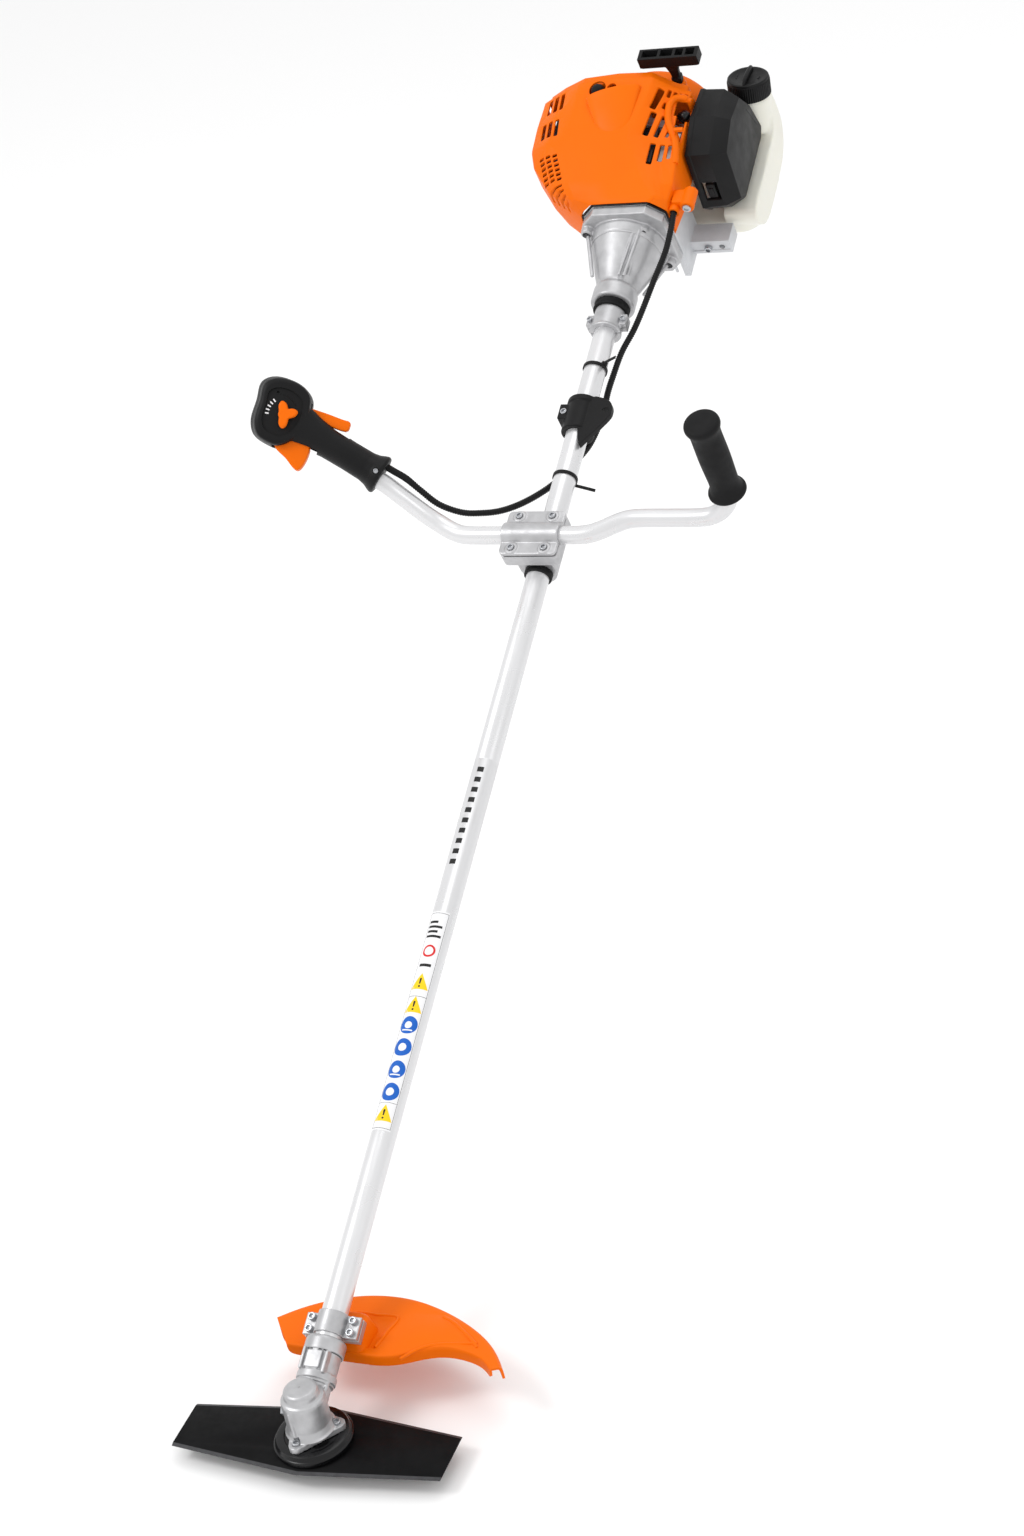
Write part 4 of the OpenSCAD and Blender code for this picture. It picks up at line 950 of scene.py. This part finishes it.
piece("bracket_screws",
      joined(*[moved(screw(5), at(x, y, -1)) for x, y in GUARD_SCREWS],
             *[moved(cylinder(2.5, -31, 0), at(x, y, 0)) for x, y in GUARD_SCREWS]), STEEL,
      replaces="guard_screws", bevel=0.25, bevel_angle=40)

# ---------------------------------------------------------------- handlebar, clamps and harness eye

BAR = [(-244, 1126.5, 146), (-212, 1116.5, 124), (-180, 1106.5, 102), (-165, 1101, 88), (-152, 1097, 73),
       (-138, 1092, 59), (-123, 1087, 48), (-104, 1079, 41.5), (-84, 1074.5, 40), (-36, 1074, 40),
       (0, 1074, 40), (36, 1074, 40), (58, 1074, 40), (72, 1076, 40), (86, 1082, 40), (100, 1090, 40),
       (114, 1096, 40), (130, 1098, 40), (170, 1098, 40), (205, 1098, 40.5), (222, 1099.5, 44), (235, 1102, 53),
       (242.5, 1105, 64), (245, 1108, 76), (245, 1110.8, 130), (245, 1114, 190)]
piece("bar", hose(even(curve_through(BAR, 8), 2.5), 10.95, 48), TUBE, replaces="handlebar", sharp=60)
BAR_AXIS = at(0, 1074, 40) @ ACROSS
CLAMP_SCREWS = [(x, y) for x in (-21, 21) for y in (1051, 1097)]
COLLAR_SCREWS = (-22, 22)
piece("bar_clamp_base",
      joined(prism([(x, 1074 + y) for x, y in rounded(72, 62, 5)], 22, 38.5),
             block((-23, 1049, 0), (23, 1099, 23)), rod(1049, 1099, 22, 72)), CAST,
      replaces="handlebar_clamp_base", voxel=0.9, relax=3,
      cut=joined(rod(1030, 1120, 14.05, 72), moved(cylinder(11, -60, 60), BAR_AXIS)))
cap_holes = [moved(cylinder(4.7, 45.2, 60), at(x, y, 0)) for x, y in CLAMP_SCREWS]
piece("bar_clamp_cap",
      joined(prism([(x, 1074 + y) for x, y in rounded(72, 62, 5)], 41.5, 46),
             moved(cylinder(15.5, -36, 36, 72), BAR_AXIS),
             *[moved(cylinder(7.6, 41.5, 47.5), at(x, y, 0)) for x, y in CLAMP_SCREWS]), CAST,
      replaces="handlebar_clamp_cap", voxel=0.8, relax=3,
      cut=joined(block((-50, 1030, 0), (50, 1120, 41.5)), moved(cylinder(11, -60, 60), BAR_AXIS), *cap_holes))
piece("clamp_fasteners",
      joined(*[moved(screw(5), at(x, y, 45)) for x, y in CLAMP_SCREWS],
             *[moved(cylinder(2.5, 18, 46), at(x, y, 0)) for x, y in CLAMP_SCREWS],
             moved(screw(5), at(-20, 1281, 10)), moved(cylinder(2.5, -12, 10.5), at(-20, 1281, 0)),
             *[moved(screw(4), at(x, 1430, 7)) for x in COLLAR_SCREWS],
             *[moved(cylinder(2, -8, 7.5), at(x, 1430, 0)) for x in COLLAR_SCREWS],
             moved(screw(4), ON_BAR @ at(16.5, 0, HANDLE_SCREW_Z) @ ACROSS)), STEEL, replaces="clamp_screws",
      bevel=0.25, bevel_angle=40)
piece("rubber_band",
      spun([(14, 1041), (16.6, 1041), (17, 1041.6), (17, 1048.4), (16.6, 1049), (14, 1049)], 72, True), RUBBER,
      replaces="clamp_rubber_ring")
eye_outline = smooth_outline(
    [(12, 1230), (18, 1233.5), (41, 1267), (44.4, 1279), (42, 1289), (34, 1296.6), (12, 1300), (4, 1265)], 3)
piece("harness_body",
      joined(spun([(19.6, 1254), (20.5, 1255), (20.5, 1293), (22, 1295), (22, 1301), (21, 1302)], 72),
             block((-26, 1270, -12), (-12, 1292, 14)), prism(eye_outline, 8, 16)), BLACK,
      replaces="harness_clamp", voxel=0.7, relax=3,
      cut=joined(rod(1220, 1310, 14.05, 72), block((-40, 1240, -0.6), (-10, 1310, 0.6)),
                 moved(cylinder(4, -20, 60), at(36, 1280, 0)), moved(cylinder(4.6, 10, 60), at(-20, 1281, 0))))
softened("cable_ties", BLACK, width=0.4)

GRIP = at(245, 1108, 76) @ turn(-3, 0, 0)
grip_rings = []
for r, z in ((11.3, 0), (22, 0), (23, 1.2), (22.6, 4.6), (20.6, 6), (19.3, 7.5), (17.4, 13), (16.6, 18),
             (17.2, 34), (18, 56), (17.9, 74), (17.4, 100), (18.6, 106), (21.2, 112), (21.5, 114.5),
             (20.8, 118), (19, 120.3), (8, 120.4), (0.01, 120.4)):
    flat = 0.0 if z < 8 or z > 104 else 0.05
    grip_rings.append([(r * (1 + flat * math.cos(2 * math.tau * k / 72)) * math.cos(math.tau * k / 72),
                        r * (1 + flat * math.cos(2 * math.tau * k / 72)) * math.sin(math.tau * k / 72), z)
                       for k in range(72)])
piece("grip_rubber", loft(grip_rings), RUBBER, replaces="rubber_grip", where=MACHINE @ GRIP, subdiv=1)

# ---------------------------------------------------------------- control handle and its levers

SWITCH = at(0, 0, 139)
HEAD_FACE = [(-39, 142), (-37, 158), (-23, 170), (0, 176), (21, 182), (36, 170), (42, 146), (37, 126),
             (22, 117), (2, 112), (-20, 116), (-35, 127)]
face_mid = (1, 141)
head_rings = []
for x, k, rise in ((-34, 0.82, 5), (-31.5, 0.93, 6), (-26, 1.0, 6), (-8, 1.01, 4.5), (4, 1.0, 0),
                   (12, 0.985, -1), (16.5, 0.95, -2), (18, 0.87, -3)):
    outline = smooth_outline(scaled(HEAD_FACE, face_mid, k), 4)
    head_rings.append([(x, y, z + rise * max(0, min(1, (z - 128) / 30))) for y, z in outline])
shaft = [[(r * math.cos(math.tau * k / 48), (r + wide) * math.sin(math.tau * k / 48), z) for k in range(48)]
         for r, wide, z in (
             (21, 0, 4), (23.4, 0, 5), (24, 0.3, 8), (22.6, 0, 12.5), (20, 0, 18), (18.4, 0, 26), (18, 0, 50),
             (18, 0.6, 78), (19, 2.5, 100), (19.6, 6, 116), (19.4, 9, 128))]
panel = smooth_outline(scaled(HEAD_FACE, (0, 140), 0.70), 4)
PANEL_X = 15.2
handle_cuts = joined(
    block((-11, -50, 84), (11, 4, 136)), block((-7, 0, 60), (7, 30, 128)),
    prism_x(panel, PANEL_X, 24),
    moved(cylinder(2.1, 16.5, 40), at(0, 0, HANDLE_SCREW_Z) @ ACROSS),
    moved(cylinder(3.9, 16.5, 40), at(0, 0, HANDLE_SCREW_Z) @ ACROSS),
    moved(cylinder(5.1, 11.5, 30), SWITCH @ ACROSS),
    moved(cylinder(1.6, 12, 30), at(0, 19.5, 160) @ ACROSS),
    moved(cylinder(11.3, -5, 84), at(0, -6, 0)), moved(cylinder(4.9, -5, 32), at(3, 12, 0)))
handle_piece = dict(where=HANDLE, voxel=0.95, relax=6, sharp=50)
for name, node, keep in (("handle_near", "control_handle_rear", (-80, 0.05)),
                         ("handle_far", "control_handle_front", (-0.05, 80))):
    away = block((keep[0], -90, -20), (keep[1], 90, 210))
    piece(name, joined(loft(head_rings), loft(shaft)), BLACK, replaces=node, cut=joined(handle_cuts, away),
          **handle_piece)
trigger_side = smooth_outline(
    [(-6, 123), (-18, 130), (-32, 133), (-38.5, 129), (-42, 114), (-47, 101), (-47.5, 93.5), (-41, 90.5),
     (-28, 91), (-16, 95), (-8, 106)], 3)
lockout_side = smooth_outline(
    [(11.5, 124.5), (18, 125), (23.6, 119.5), (29, 98), (32.6, 79), (34.6, 71), (31, 67.4), (22, 68.4),
     (17, 90), (12, 110)], 3)
piece("trigger_lever", prism_x(trigger_side, -8.8, 8.8), ORANGE, body="trigger", replaces="throttle_trigger",
      where=HANDLE, bevel=2.4, segments=4, bevel_angle=50, sharp=60)
piece("lockout_lever", prism_x(lockout_side, -4.9, 4.9), ORANGE, body="lockout", replaces="throttle_lockout",
      where=HANDLE, bevel=2.0, segments=4, bevel_angle=50, sharp=60)
lobe = smooth_outline([(0, -5.2), (7, -5.6), (13, -4.4), (16.6, 0), (13, 4.4), (7, 5.6), (0, 5.2), (-3, 0)], 4)
star = [moved(loft([[(x, y, 20.6) for x, y in lobe], [(x, y, 23.6) for x, y in lobe],
                    [(x, y, 25.6) for x, y in scaled(lobe, (7, 0), 0.86)],
                    [(x, y, 26.4) for x, y in scaled(lobe, (7, 0), 0.6)]]), turn(0, 0, a))
        for a in (42, 130, 292)]
piece("switch_star", joined(cylinder(4.9, 12.6, 22), cylinder(7, 20.6, 26.2), *star), ORANGE, body="switch",
      replaces="stop_switch", where=HANDLE @ SWITCH @ ACROSS, voxel=0.45, relax=3, sharp=60)
piece("switch_scale",
      joined(*[moved(block((15.3, -0.8, -2.2), (15.7, 0.8, 2.2)), SWITCH @ turn(a, 0, 0) @ at(0, 0, 21.5))
               for a in (-24, -12, 0, 12, 24)]), PAPER, where=HANDLE)
piece("switch_slit", hose([Vector((15.3, 17 + 4 * math.sin(k / 8 * math.pi), 134 + 3.4 * k)) for k in range(9)],
                          0.55, 10), GLOSS_BLACK, where=HANDLE)

# ---------------------------------------------------------------- what is inside, or plain enough as it is

for nodes, mat in ((("gearbox_plug", "pinion_shaft", "gearbox_bearings", "bevel_gear", "spindle",
                     "thrust_plate", "blade_nut", "drive_shaft", "clutch_drum", "crankshaft", "crank_bearings",
                     "piston"), STEEL), (("rider_plate",), BLADE_BLACK),
                   (("shaft_bushes", "starter_pulley"), BLACK),
                   # the cylinder block's dark steel is painted shade, so that the hood vents look black
                   (("clutch_shoes", "cylinder_block"), DARK_STEEL_AND_SHADE), (("flywheel",), GREY_CAST),
                   (("spark_plug",), CERAMIC)):
    for node in nodes:
        finish_node(node, mat)

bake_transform(rope)
